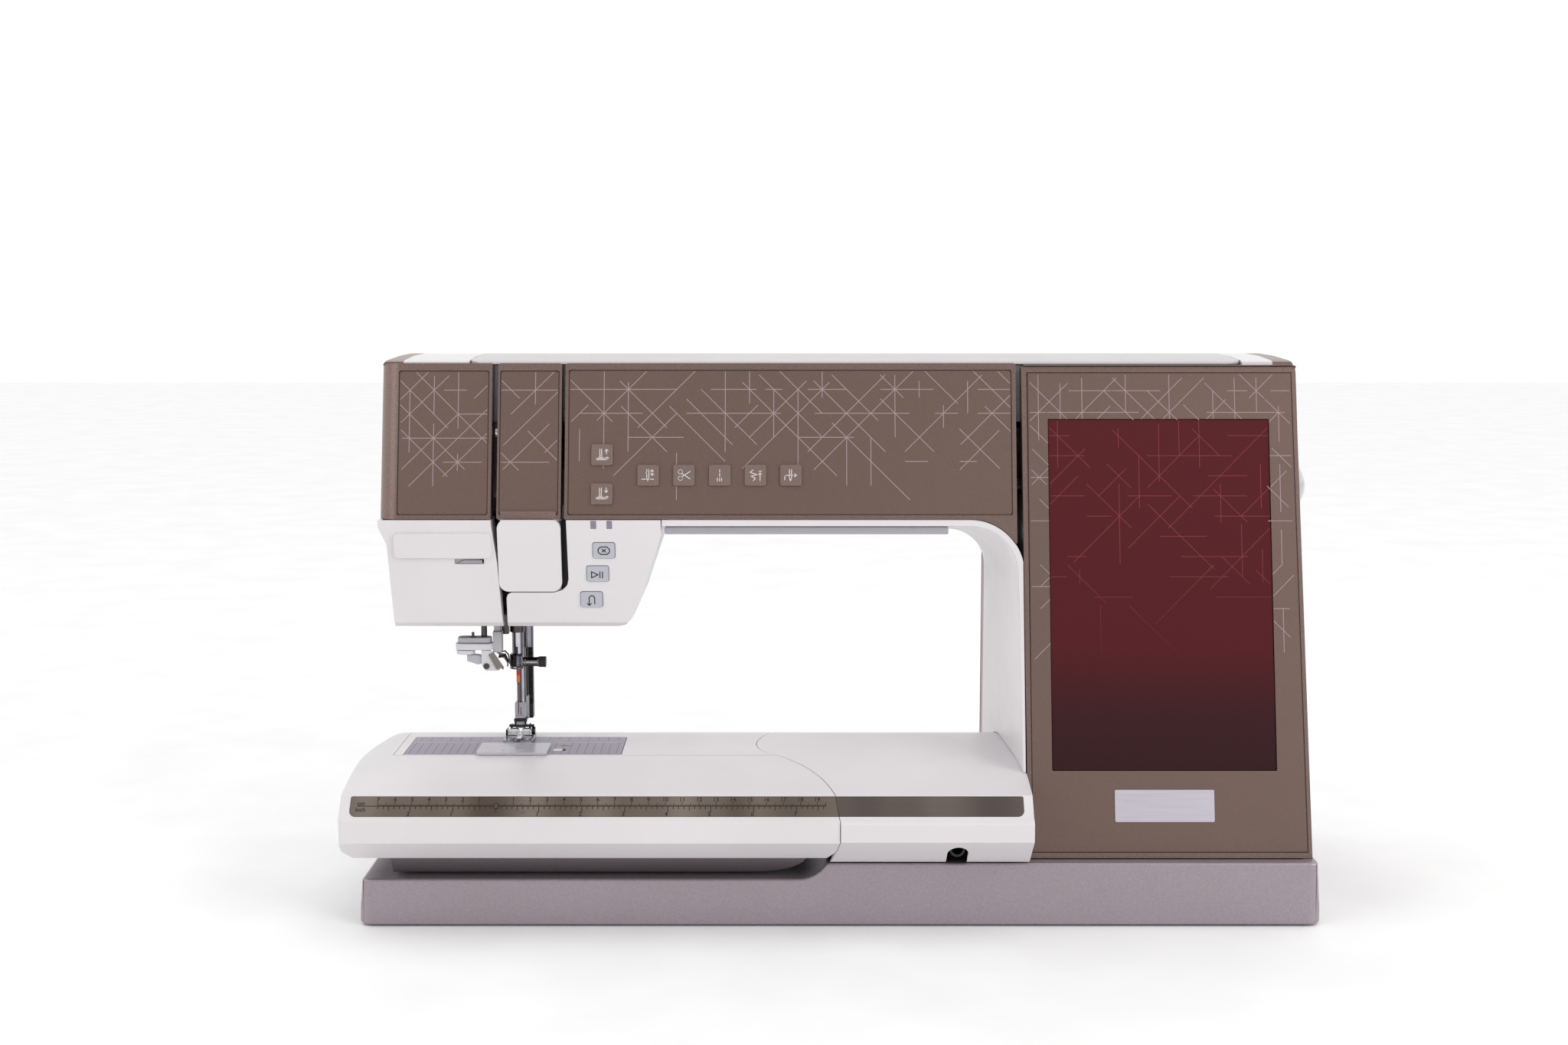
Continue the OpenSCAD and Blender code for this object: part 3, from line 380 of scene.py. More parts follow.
def screen_finish():
    """Lit display glass: a burgundy field that darkens towards its foot."""
    made = Finish("screen_glass", Specular_IOR_Level=0.25, Emission_Strength=0.3)
    field = made.ramp(
        made.along("Z", 91, 302), (0.0, linear(38, 19, 20)), (0.16, linear(47, 19, 22)),
        (0.36, linear(70, 20, 25)), (1.0, linear(73, 22, 27)))
    grain = made.mix(made.levels(made.noise(4000, 1), 0.0, 0.06), field, linear(110, 50, 56))
    made.colour(grain)
    made.link(grain, made.bsdf.inputs["Emission Color"])
    made.roughness(made.levels(made.noise(70, 3), 0.1, 0.16))
    return made.material


def two_tone(name, *masks):
    """A cover lacquered in places and plain white elsewhere.

    Each mask is an axis, a place along it and the side that is plain; a point is plain
    where every mask says so.
    """
    made = Finish(name, Coat_Weight=0.15, Coat_Roughness=0.25)
    flakes = made.mix(made.levels(made.cells(4200), 0.0, 0.55), TAUPE, TAUPE_FLAKE)
    colour, metal = WHITE, 0.0
    for axis, place, plain_above in masks:
        split = made.along(axis, place - 0.2, place + 0.2)
        pair = (flakes, colour) if plain_above else (colour, flakes)
        colour = made.mix(split, *pair)
        level = made.node("ShaderNodeMix", data_type="FLOAT")
        made.link(split, level.inputs["Factor"])
        for socket, value in zip(level.inputs[2:4], (0.6, metal) if plain_above else (metal, 0.6)):
            if isinstance(value, float):
                socket.default_value = value
            else:
                made.link(value, socket)
        metal = level.outputs[0]
    made.colour(colour)
    made.link(metal, made.bsdf.inputs["Metallic"])
    made.roughness(made.levels(made.noise(2600, 2), 0.3, 0.44))
    made.bump(made.noise(2000, 2), 0.25, 0.02)
    return made.material


screen_glass = screen_finish()
take_up_finish = two_tone("take_up_finish", ("Z", 240.8, False))
arm_rear_finish = two_tone("arm_rear_finish", ("X", -270.3, True))
tower_rear_finish = two_tone("tower_rear_finish", ("Z", 334.9, True), ("X", 270.5, False))


# ---------- finishing the CAD nodes ----------

FINISHES = {
    white_plastic: "bed_cover free_arm tray_shell arch_liner head_left_casing head_right_casing",
    lid_plastic: "top_lid",
    taupe_lacquer: "arm_panel head_left_panel tower_panel",
    base_finish: "base",
    rubber: "rubber_feet timing_belt",
    strip_metal: "tray_ruler",
    dark_strip_metal: "bed_strip",
    plate_metal: "needle_plate",
    steel: "feed_dog rotary_hook cutter_blade main_shaft lower_shaft foot_ankle cover_screws",
    needle_steel: "needle",
    chrome: "handwheel take_up_lever winder_spindle",
    # These plated rods carry painted reflections.
    needle_bar_chrome: "needle_bar",
    bar_chrome: "presser_bar",
    dark_chrome: "needle_clamp",
    pan_tone_and_shade: "tray_pan",
    grey_plastic: "needle_threader",
    deck_plastic: "spool_deck",
    black_plastic: "bobbin_case spool_pin motor dual_feed_lever connector_panel power_switch"
                   " knee_lift_socket",
    diffuser: "led_strip",
    screen_glass: "touch_screen",
    badge_metal: "badge_plate",
    cast_metal: "cast_frame",
    take_up_finish: "take_up_cover",
    arm_rear_finish: "arm_rear_cover",
    tower_rear_finish: "tower_rear_cover",
    clear_plastic: "bobbin presser_foot",
    window_plastic: "bobbin_cover",
    key_lacquer: "foot_up_button foot_down_button needle_button scissors_button baste_button"
                 " tie_off_button thread_button",
    key_plastic: "stop_button start_button reverse_button",
}

# Edge radius of each moulding, in millimetres; the rest get a small one
EDGES = {
    "base": 1.8, "tray_shell": 1.0, "bed_cover": 1.0, "free_arm": 0.8, "head_left_casing": 1.2,
    "head_right_casing": 1.2, "take_up_cover": 1.0, "arm_panel": 1.1, "head_left_panel": 1.1,
    "tower_panel": 1.1, "top_lid": 1.2, "arm_rear_cover": 1.2, "tower_rear_cover": 1.0,
    "arch_liner": 0.6, "needle_plate": 0.3, "bobbin_cover": 0.3, "tray_pan": 1.0, "cast_frame": 1.5,
    "motor": 1.5, "handwheel": 0.6, "foot_ankle": 0.5, "needle_clamp": 0.5, "presser_foot": 0.4,
    "power_switch": 0.6, "rubber_feet": 0.8, "spool_pin": 0.6, "led_strip": 0.8,
}
SMALL_EDGE = 0.25
FREE_BEVEL = ("base",)


def rounded_edges(obj, width, angle=32, clamp=True):
    """Welds the surface, rounds its edges and shades it smoothly."""
    obj.data.polygons.foreach_set("use_smooth", [True] * len(obj.data.polygons))
    weld = obj.modifiers.new("weld", "WELD")
    weld.merge_threshold = 0.00001
    flat = obj.modifiers.new("flat", "DECIMATE")
    flat.decimate_type = "DISSOLVE"
    flat.angle_limit = math.radians(0.3)
    bevel = obj.modifiers.new("edges", "BEVEL")
    bevel.width = width * MM
    bevel.segments = 3
    bevel.use_clamp_overlap = clamp
    bevel.limit_method = "ANGLE"
    bevel.angle_limit = math.radians(angle)
    bevel.miter_outer = "MITER_ARC"
    normals = obj.modifiers.new("normals", "WEIGHTED_NORMAL")
    normals.mode = "FACE_AREA_WITH_ANGLE"
    normals.weight = 60


def dress(name, material):
    """Gives a CAD node its finish and its rounded edges."""
    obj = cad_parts[name]
    obj.data.materials.clear()
    obj.data.materials.append(material)
    rounded_edges(obj, EDGES.get(name, SMALL_EDGE), clamp=name not in FREE_BEVEL)


for finish, names in FINISHES.items():
    for cad_name in names.split():
        dress(cad_name, finish)


# ---------- building new pieces ----------

def slab(mesh, outline, low, high, at):
    """Adds a plate with that outline, between two heights over the surface, in millimetres."""
    rings = [[mesh.verts.new(at @ (Vector((u, v, h)) * MM)) for u, v in outline] for h in (low, high)]
    mesh.faces.new(rings[1])
    mesh.faces.new(rings[0][::-1])
    for i in range(len(outline)):
        j = (i + 1) % len(outline)
        mesh.faces.new((rings[0][i], rings[0][j], rings[1][j], rings[1][i]))


def ring(u, v, radius, sides=24):
    """Points of a circle."""
    steps = [2 * math.pi * i / sides for i in range(sides)]
    return [(u + radius * math.cos(a), v + radius * math.sin(a)) for a in steps]


def rounded_box(u0, v0, u1, v1, r, sides=6):
    """Points of a rectangle with rounded corners."""
    points = []
    corners = (u1 - r, v1 - r, 0), (u0 + r, v1 - r, 90), (u0 + r, v0 + r, 180), (u1 - r, v0 + r, 270)
    for cu, cv, turn in corners:
        for i in range(sides + 1):
            a = math.radians(turn + 90 * i / sides)
            points.append((cu + r * math.cos(a), cv + r * math.sin(a)))
    return points


def stroke(mesh, points, width, low, high, at, joints=True):
    """Adds a drawn line of that width through the points."""
    for a, b in zip(points, points[1:]):
        along = Vector((b[0] - a[0], b[1] - a[1]))
        side = Vector((-along.y, along.x)).normalized() * width / 2
        slab(mesh, [(a[0] - side.x, a[1] - side.y), (b[0] - side.x, b[1] - side.y),
                    (b[0] + side.x, b[1] + side.y), (a[0] + side.x, a[1] + side.y)], low, high, at)
    if joints:
        for u, v in points:
            slab(mesh, ring(u, v, width / 2, 10), low, high, at)


def rod(mesh, start, end, radius, sides=20):
    """Adds a round rod between two points, in millimetres."""
    start, end = Vector(start) * MM, Vector(end) * MM
    turn = (end - start).to_track_quat("Z", "Y").to_matrix().to_4x4()
    length = (end - start).length / MM
    slab(mesh, ring(0, 0, radius, sides), 0, length, Matrix.Translation(start) @ turn)


def wire(mesh, points, radius, sides=10):
    """Adds bent wire through the points, in millimetres."""
    for start, end in zip(points, points[1:]):
        rod(mesh, start, end, radius, sides)
        bmesh.ops.create_uvsphere(mesh, u_segments=sides, v_segments=6, radius=radius * MM,
                                  matrix=Matrix.Translation(Vector(end) * MM))


def piece(name, mesh, material, body, edge=0.0):
    """Turns a mesh into a named piece that moves with a body."""
    bmesh.ops.recalc_face_normals(mesh, faces=mesh.faces)
    data = bpy.data.meshes.new(name)
    mesh.to_mesh(data)
    mesh.free()
    data.materials.append(material)
    obj = bpy.data.objects.new(name, data)
    bpy.context.collection.objects.link(obj)
    if edge:
        rounded_edges(obj, edge)
    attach(obj, body)
    return obj


def lettering(name, words, material, body, at, height):
    """Small printed numbers: each word with its centre on the surface."""
    mesh = bmesh.new()
    for text, u, v in words:
        font = bpy.data.curves.new(name, "FONT")
        font.body = text
        font.size = height * MM
        font.align_x = "CENTER"
        font.align_y = "CENTER"
        font.extrude = 0.02 * MM
        font.offset = 0.05 * MM
        holder = bpy.data.objects.new(name, font)
        drawn = bpy.data.meshes.new_from_object(holder)
        drawn.transform(at @ Matrix.Translation((u * MM, v * MM, 0.03 * MM)))
        mesh.from_mesh(drawn)
        bpy.data.objects.remove(holder)
        bpy.data.meshes.remove(drawn)
    return piece(name, mesh, material, body)


# ---------- inlays and their line pattern ----------

WAYS = ((1, 0), (0, 1), (1, 1), (1, -1))
SQUARE_WAYS = ((1, 0), (0, 1), (1, 0), (0, 1), (1, 1), (1, -1))


def random_lines(seed, box, rows, chance_low, grid=GRID, ways=WAYS, chance_high=0.95):
    """Straight lines through the nodes of a square grid, at multiples of 45 degrees.

    The first row lies below the top of the box; the chance that a node carries lines goes
    from chance_high in the first row to chance_low in the last. Lines that lie on each
    other are joined into one.
    """
    u0, v0, u1, v1 = box
    chance = random.Random(seed)
    runs = {}
    for row in range(rows):
        likely = chance_high + (chance_low - chance_high) * row / max(1, rows - 1)
        v = v1 - grid * (0.75 + row)
        for column in range(int((u1 - u0) / grid) + 1):
            u = u0 + grid * (0.4 + column)
            if chance.random() > likely:
                continue
            for way in chance.sample(ways, chance.choice([1, 1, 2, 3])):
                du, dv = way
                back, ahead = (grid * chance.choice([0.35, 0.6, 1, 1.3, 1.6]) for _ in range(2))
                steps = u if du else v
                start = (u - du * steps, v - dv * steps)
                key = way, round(start[0], 2), round(start[1], 2)
                runs.setdefault(key, []).append((steps - back, steps + ahead))
    lines = []
    for (way, u, v), spans in runs.items():
        for low, high in joined(spans):
            ends = [(u + way[0] * step, v + way[1] * step) for step in (low, high)]
            line = clipped(*ends, box)
            if line:
                lines.append(line)
    return lines


def joined(spans):
    """Overlapping spans made into single ones."""
    made = []
    for low, high in sorted(spans):
        if made and low <= made[-1][1]:
            made[-1][1] = max(made[-1][1], high)
        else:
            made.append([low, high])
    return made


def clipped(a, b, box):
    """The part of a line inside a rectangle, or None."""
    u0, v0, u1, v1 = box
    low, high = 0.0, 1.0
    sides = ((a[0] - b[0], a[0] - u0), (b[0] - a[0], u1 - a[0]),
             (a[1] - b[1], a[1] - v0), (b[1] - a[1], v1 - a[1]))
    for p, q in sides:
        if p == 0:
            if q < 0:
                return None
        elif p < 0:
            low = max(low, q / p)
        else:
            high = min(high, q / p)
    if low >= high:
        return None
    at = [(a[0] + t * (b[0] - a[0]), a[1] + t * (b[1] - a[1])) for t in (low, high)]
    return at if math.dist(*at) > 5 else None


def line_field(name, lines, width, height, material, hole=None, joints=False):
    """Draws lines on the face, each a hair higher than the last; a hole is left free."""
    mesh = bmesh.new()
    for i, (a, b) in enumerate(lines):
        parts = [(a, b)]
        if hole:
            parts = outside(a, b, hole)
        for part in parts:
            stroke(mesh, part, width, height, height + PRINT + 0.0004 * i, FACE, joints)
    piece(name, mesh, material, BODY)


def outside(a, b, hole):
    """The parts of a line outside a rectangle."""
    inside = clipped(a, b, hole)
    if not inside:
        return [(a, b)]
    return [(p, q) for p, q in ((a, inside[0]), (inside[1], b)) if math.dist(p, q) > 2]


def groove(name, outline):
    """Dark narrow line in the groove around a decorative plate, painted shade in the groove."""
    mesh = bmesh.new()
    stroke(mesh, outline + outline[:1], 0.65, INLAY_LOW - 0.01, INLAY_FACE + 0.06, FACE)
    piece(name, mesh, groove_shade, BODY)


def inlay(name, u0, z0, u1, z1, seed, rows):
    """A recessed decorative plate with its printed lines."""
    v0, v1 = up_face(z0), up_face(z1)
    mesh = bmesh.new()
    slab(mesh, rounded_box(u0 + 0.5, v0 + 0.5, u1 - 0.5, v1 - 0.5, 1.2),
         INLAY_LOW, INLAY_FACE, FACE)
    piece(name, mesh, inlay_finish, BODY, 0.12)
    groove(name + "_groove", rounded_box(u0 + 0.3, v0 + 0.3, u1 - 0.3, v1 - 0.3, 1.3))
    lines = random_lines(seed, (u0 + 1, v0 + 1, u1 - 1, v1 - 1), rows, 0.45)
    line_field(name + "_lines", lines, 0.5, INLAY_FACE, line_print)


inlay("left_inlay", -272, 243.5, -216, 331.5, 14, 4)
inlay("take_up_inlay", -209.3, 243.5, -172.5, 331.5, 6, 4)
inlay("arm_inlay", -166.8, 243.5, 107.5, 332, 23, 4)

SCREEN = (129.6, up_face(91.1), 266.4, up_face(302.0))


def tower_inlay():
    """The printed surround of the screen, in four strips, with its lines."""
    u0, v0, u1, v1 = SCREEN
    left, right_low, right_high = 117.5, 283.7, 280.5
    low, high = up_face(43.6), up_face(330.0)
    groove("tower_groove", [(left - 0.2, low - 0.2), (right_low + 0.2, low - 0.2),
                            (right_high + 0.2, high + 0.2), (left - 0.2, high + 0.2)])

    def right(v):
        return right_low + (right_high - right_low) * (v - low) / (high - low)

    mesh = bmesh.new()
    for strip in ([(left, low), (right(low), low), (right(v0), v0), (left, v0)],
                  [(left, v1), (right(v1), v1), (right(high), high), (left, high)],
                  [(left, v0), (u0, v0), (u0, v1), (left, v1)],
                  [(u1, v0), (right(v0), v0), (right(v1), v1), (u1, v1)]):
        slab(mesh, strip, INLAY_LOW, INLAY_FACE, FACE)
    piece("tower_inlay", mesh, inlay_finish, BODY)
    box = (left + 1, low, right_high - 1, high - 1)
    lines = random_lines(41, box, 12, 0.35, 13.5)
    line_field("tower_inlay_lines", lines, 0.45, INLAY_FACE, line_print, SCREEN)
    lines = random_lines(67, (u0 + 1, v0 + 1, u1 - 1, v1 - 1), 11, 0.12, 12.5, SQUARE_WAYS, 0.55)
    line_field("screen_lines", lines, 0.3, SCREEN_FACE, screen_line_finish)


def screen_lines_material():
    """Faint lines shown on the display."""
    made = Finish("screen_lines", Specular_IOR_Level=0.25, Emission_Strength=0.3)
    fade = made.ramp(made.along("Z", 150, 300), (0.0, linear(66, 27, 31)), (0.5, linear(124, 56, 58)))
    made.colour(fade)
    made.link(fade, made.bsdf.inputs["Emission Color"])
    made.roughness(made.levels(made.noise(70, 3), 0.15, 0.2))
    return made.material


screen_line_finish = screen_lines_material()
tower_inlay()


# ---------- icons on the keys ----------

def arrow(tip, tail, size=1.3):
    """Strokes of an arrow from tail to tip."""
    along = Vector((tip[0] - tail[0], tip[1] - tail[1])).normalized()
    side = Vector((-along.y, along.x))
    wings = [(tip[0] - along.x * size + side.x * s, tip[1] - along.y * size + side.y * s)
             for s in (size * 0.7, -size * 0.7)]
    return [[tail, tip], [wings[0], tip, wings[1]]]


def circle_stroke(u, v, radius, sides=16):
    """Closed stroke around a circle."""
    points = ring(u, v, radius, sides)
    return [points + points[:1]]


FOOT = [[(-1.3, 3.6), (-1.3, -0.5)], [(-0.2, 3.6), (-0.2, -0.5)],
        [(-3.2, -2.2), (-3.2, -3.1), (2.5, -3.1), (4.1, -2.0), (3.3, -1.4), (2.0, -2.2), (-3.2, -2.2)],
        [(-1.5, -0.8), (-0.1, -0.8), (0.2, -1.8), (-1.8, -1.8), (-1.5, -0.8)]]

PANEL_ICONS = {
    "foot_up_button": FOOT + arrow((2.8, 3.6), (2.8, 0.5)),
    "foot_down_button": FOOT + arrow((2.8, 0.7), (2.8, 3.7)),
    "needle_button": [[(-3.9, -2.5), (-1.5, -2.5)], [(1.3, -2.5), (3.4, -2.5)],
                      [(-0.8, 3.6), (-0.8, 2.2), (-1.2, 1.6), (-0.8, 0.6), (-0.8, -1.6), (-0.2, -3.6),
                       (0.5, -1.6), (0.5, 3.6)]]
    + arrow((2.5, 3.6), (2.5, 1.6)) + arrow((2.5, -0.4), (2.5, 1.6)),
    "scissors_button": circle_stroke(-2.2, 2.1, 1.3) + circle_stroke(-2.2, -1.9, 1.3)
    + [[(-1.3, 1.2), (3.8, -2.3)], [(-1.3, -1.0), (3.8, 2.3)]],
    "baste_button": [[(0, 3.5), (0, 1.9)], [(0, 1.1), (0, -0.8)], [(-1.4, -1.8), (-1.4, -3.6)],
                     [(-0.1, -1.8), (-0.1, -3.6)], [(1.2, -1.8), (1.2, -3.6)]],
    "tie_off_button": [[(-1.4, 3.3), (-3.3, 1.7), (1.1, 0.4), (-2.7, -0.7), (0.2, -1.9), (-1.4, -3.4)]]
    + arrow((2.9, 1.7), (2.9, -3.4)) + [[(2.1, 2.5), (3.8, 2.5)]],
    "thread_button": [[(-0.9, 3.5), (-0.9, -1.5), (-0.3, -3.6), (0.4, -1.5), (0.4, 3.5)],
                      [(-3.8, -2.9), (-3.8, -0.9), (-3.4, -0.3), (-2.7, -0.1), (2, -0.1)]]
    + arrow((3.6, -0.1), (1.4, -0.1)),
}
PANEL_KEYS = {
    "foot_up_button": (-145.7, 280), "foot_down_button": (-145.7, 256.3),
    "needle_button": (-117.2, 267.6), "scissors_button": (-95.1, 267.6), "baste_button": (-73.1, 267.6),
    "tie_off_button": (-51.1, 267.6), "thread_button": (-29.2, 267.6),
}
HEAD_ICONS = {
    "stop_button": [[(-3.5, 0.9), (-2, 2.4), (2, 2.4), (3.5, 0.9), (3.5, -0.9), (2, -2.4), (-2, -2.4),
                     (-3.5, -0.9), (-3.5, 0.9)], [(-1.1, -0.9), (1.1, 0.9)], [(-1.1, 0.9), (1.1, -0.9)]],
    "start_button": [[(-3.8, 1.5), (-3.8, -2.5), (0.2, -0.5), (-3.8, 1.5)], [(1.4, 1.3), (1.4, -2.5)],
                     [(3, 1.3), (3, -2.5)]],
    "reverse_button": [[(-1.5, -3.6), (-1.5, 1.1), (-1, 2.2), (0.2, 2.8), (1.4, 2.2), (1.9, 1.1),
                        (1.9, -2.7)],
                       [(-2.7, -2.5), (-1.5, -3.7), (-0.3, -2.5)]],
}
HEAD_KEYS = {
    "stop_button": (-144.6, 221.6), "start_button": (-148.8, 206.7), "reverse_button": (-153, 190.1),
}


def icons(drawings, places, along, at, proud, material, width):
    """Prints each key's symbol on the key."""
    for name, strokes in drawings.items():
        u, z = places[name]
        centre = at @ Matrix.Translation((u * MM, along(z) * MM, proud * MM))
        mesh = bmesh.new()
        for line in strokes:
            stroke(mesh, line, width, 0, 0.08, centre)
        piece(name + "_icon", mesh, material, name)


icons(PANEL_ICONS, PANEL_KEYS, up_face, FACE, KEY_PROUD, light_print, 0.52)
icons(HEAD_ICONS, HEAD_KEYS, up_head, HEAD, HEAD_KEY_PROUD, key_print, 0.64)


# ---------- ruler, plate marks and small fittings ----------

def ruler():
    """Printed scale along the tray strip: centimetres above the line, inches below it."""
    centre, height = -6.9, -0.02
    mesh = bmesh.new()

    def line(points, width=0.42):
        stroke(mesh, points, width, height, height + 0.03, STRIP, joints=False)

    left, right = -70, 195
    line([(NEEDLE_X + left - 12, centre), (NEEDLE_X + right, centre)])
    for i in range(left, right + 1):
        tall = 2.5 if i % 10 == 0 or i == right else 1.7 if i % 5 == 0 else 0.95
        line([(NEEDLE_X + i, centre), (NEEDLE_X + i, centre + tall)])
    eighth = 25.4 / 8
    for i in range(math.ceil(left / eighth), math.floor(right / eighth) + 1):
        deep = 4.2 if i % 8 == 0 else 2.8 if i % 4 == 0 else 1.9
        line([(NEEDLE_X + i * eighth, centre - deep), (NEEDLE_X + i * eighth, centre)], 0.46)
    slab(mesh, rounded_box(NEEDLE_X - 1.7, centre - 1.7, NEEDLE_X + 1.7, centre + 1.7, 0.4),
         height, height + 0.04, STRIP)
    piece("ruler_marks", mesh, dark_print, "accessory_tray")
    mesh = bmesh.new()
    for part in circle_stroke(NEEDLE_X, centre, 0.85, 20):
        stroke(mesh, part, 0.26, height, height + 0.05, STRIP)
    piece("ruler_origin", mesh, grey_light, "accessory_tray")
    words = [(str(abs(i)), NEEDLE_X + i * 10, centre + 4.2) for i in range(-7, 20) if i]
    words += [(str(abs(i)), NEEDLE_X + i * 25.4 - 0.8, centre - 5.3) for i in range(-2, 8) if i]
    words += [("cm", NEEDLE_X - 80, centre + 1.6), ("inch", NEEDLE_X - 80, centre - 2.4)]
    place = STRIP @ Matrix.Translation((0, 0, height * MM))
    lettering("ruler_numbers", words, dark_print, "accessory_tray", place, 3.7)
    words = [("1/4", NEEDLE_X + 6.3, centre - 4), ("5/8", NEEDLE_X + 15.9, centre - 4)]
    lettering("ruler_fractions", words, grey_print, "accessory_tray", place, 2.2)


def bed_height(y):
    """Height of the bed surface: flat at the back, gently falling to the front."""
    return BED_Z - max(0, BED_FLAT_EDGE - y) ** 2 / BED_ARC_WIDTH


def seam():
    """Dark wire at the bottom of the narrow gap between the bed and the free arm and tray, painted shade
    in the gap.
    """
    first, last = SEAM_ANGLES
    angles = [math.radians(first + (last - first) * i / 40) for i in range(41)]
    plan = [(SEAM_CENTRE[0] + SEAM_RADIUS * math.cos(a), SEAM_CENTRE[1] + SEAM_RADIUS * math.sin(a))
            for a in angles] + SEAM_BACK
    mesh = bmesh.new()
    wire(mesh, [(x, y, bed_height(y) - 0.5) for x, y in plan], 0.36)
    piece("bed_seam", mesh, seam_shade, BODY)


def tower_return():
    """Left side of the tower's rear cover, closing it towards the arch."""
    mesh = bmesh.new()
    slab(mesh, [(102.7, 93.4), (104.2, 93.4), (104.2, 107), (102.7, 107)], 40, 218.4, LEVEL)
    piece("tower_return", mesh, taupe_lacquer, BODY, 0.3)


def bed_end():
    """Wall that closes the right end of the bed cover in front of the tower."""
    outline = [(y, bed_height(y) - 2.2) for y in range(-55, -104, -6)]
    outline += [(-103.5, 82.3), (-112.8, 71.5), (-116.6, 69.5), (-116.8, 59.8), (-99.4, 46.3),
                (-55, 46.3)]
    mesh = bmesh.new()
    slab(mesh, outline, 111.8, 113.7, SIDE)
    piece("bed_end", mesh, white_plastic, BODY, 0.3)


def cutter_slot():
    """Grey floor of the thread cutter slot, slanting at its right end; its grey is painted shade in the
    recess.
    """
    v0, v1 = up_head(212.9), up_head(215.9)
    mesh = bmesh.new()
    slab(mesh, [(-236.9, v0), (-219.2, v0), (-222.4, v1), (-236.9, v1)], -1.6, -0.9, HEAD)
    piece("cutter_slot", mesh, slot_shade_grey, BODY)


def plate_marks():
    """Seam guide lines on the needle plate."""
    mesh = bmesh.new()
    for i in range(-13, 14):
        u = NEEDLE_X + i * 5
        if abs(i) > 4 and -270 < u < -138:
            stroke(mesh, [(u, -34), (u, -4 if i % 2 else -8)], 0.36, 0, PRINT, BED, joints=False)
    for i in range(-10, 11):
        u = NEEDLE_X + i * 6.35
        if abs(i) > 2 and -270 < u < -138:
            stroke(mesh, [(u, -1 if i % 2 else 3), (u, 10.5)], 0.32, 0, PRINT, BED, joints=False)
    piece("plate_marks", mesh, grey_print, BODY)
    mesh = bmesh.new()
    for u0, u1 in ((-270, -228), (-180, -137)):
        stroke(mesh, [(u0, -3.5), (u1, -3.5)], 0.3, 0, PRINT, BED, joints=False)
    slab(mesh, rounded_box(-179, -27.5, -173.5, -21.5, 0.8), 0, 0.03, BED)
    piece("plate_divider", mesh, light_print, BODY)
    mesh = bmesh.new()
    slab(mesh, rounded_box(-173.2, -27.5, -171.2, -21.5, 0.6), 0, 0.03, BED)
    piece("plate_release", mesh, dark_print, BODY)


def lamps():
    """Two small indicator lamps at the top of the head casing."""
    mesh = bmesh.new()
    for u0, u1 in ((-152.5, -148.9), (-142.6, -139.2)):
        slab(mesh, rounded_box(u0, up_head(235.2), u1, up_head(240.4), 0.5), -0.3, 0.25, HEAD)
    piece("indicator_lamps", mesh, lamp_plastic, BODY, 0.15)


ruler()
seam()
bed_end()
cutter_slot()
tower_return()
plate_marks()
lamps()


# ---------- needle area ----------

def needle_mark():
    """Two coloured bands on the needle's shank that show its system."""
    for name, z0, z1, paint in (("needle_mark_upper", 135.6, 138.6, mark_paint),
                                ("needle_mark_lower", 131.2, 135.6, mark_paint_low)):
        mesh = bmesh.new()
        rod(mesh, (NEEDLE_X, 0, z0), (NEEDLE_X, 0, z1), 1.08, 24)
        piece(name, mesh, paint, "needle_unit")


def ridged(radius, depth, ridges):
    """Points of a knurled circle."""
    return [((radius - depth * (i % 2)) * math.cos(math.pi * i / ridges),
             (radius - depth * (i % 2)) * math.sin(math.pi * i / ridges)) for i in range(2 * ridges)]


def clamp():
    """Needle clamp: a dark plated body and a round arm, both with painted reflections, a loop under the
    body, a ridged knob, and a black plate on the needle bar that is painted shade in its slot.
    """
    x = NEEDLE_X
    mesh = bmesh.new()
    slab(mesh, rounded_box(x - 4.9, -4.6, x + 3.5, 4, 2.2), 142.0, 149.9, LEVEL)
    slab(mesh, rounded_box(x - 0.6, -5.4, x + 3.9, 0, 1.2), 143.0, 149.4, LEVEL)
    body = piece("clamp_body", mesh, clamp_metal, "needle_unit", 0.6)
    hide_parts("needle_clamp")
    mesh = bmesh.new()
    rod(mesh, (x + 3.4, -0.6, 144.6), (x + 13.8, -0.6, 144.6), 2.95, 36)
    piece("clamp_arm", mesh, arm_metal, "needle_unit", 0.3)
    mesh = bmesh.new()
    loop = [(x - 0.6 + u, v - 1.2, 140.9) for u, v in ring(0, 0, 3.9, 20)]
    wire(mesh, loop + loop[:1], 0.55)
    rod(mesh, (x + 4.6, -0.6, 144.6), (x + 5.6, -0.6, 144.6), 3.2, 36)
    rod(mesh, (x + 12.6, -0.6, 144.6), (x + 13.6, -0.6, 144.6), 3.2, 36)
    piece("clamp_trim", mesh, bracket_metal, "needle_unit")
    end = Matrix.Translation(Vector((x + 13.8, -0.6, 144.6)) * MM)
    turn = end @ Matrix.Rotation(math.pi / 2, 4, "Y")
    mesh = bmesh.new()
    slab(mesh, ridged(3.5, 0.3, 20), 0, 4.3, turn)
    # Thin black plate on the needle bar's front, painted shade in the slot there.
    slab(mesh, rounded_box(x - 1.0, 150.2, x + 0.6, 154.8, 0.2), 3.3, 3.6, UPRIGHT)
    piece("clamp_knob_and_slot_shade", mesh, black_plastic, "needle_unit", 0.25)


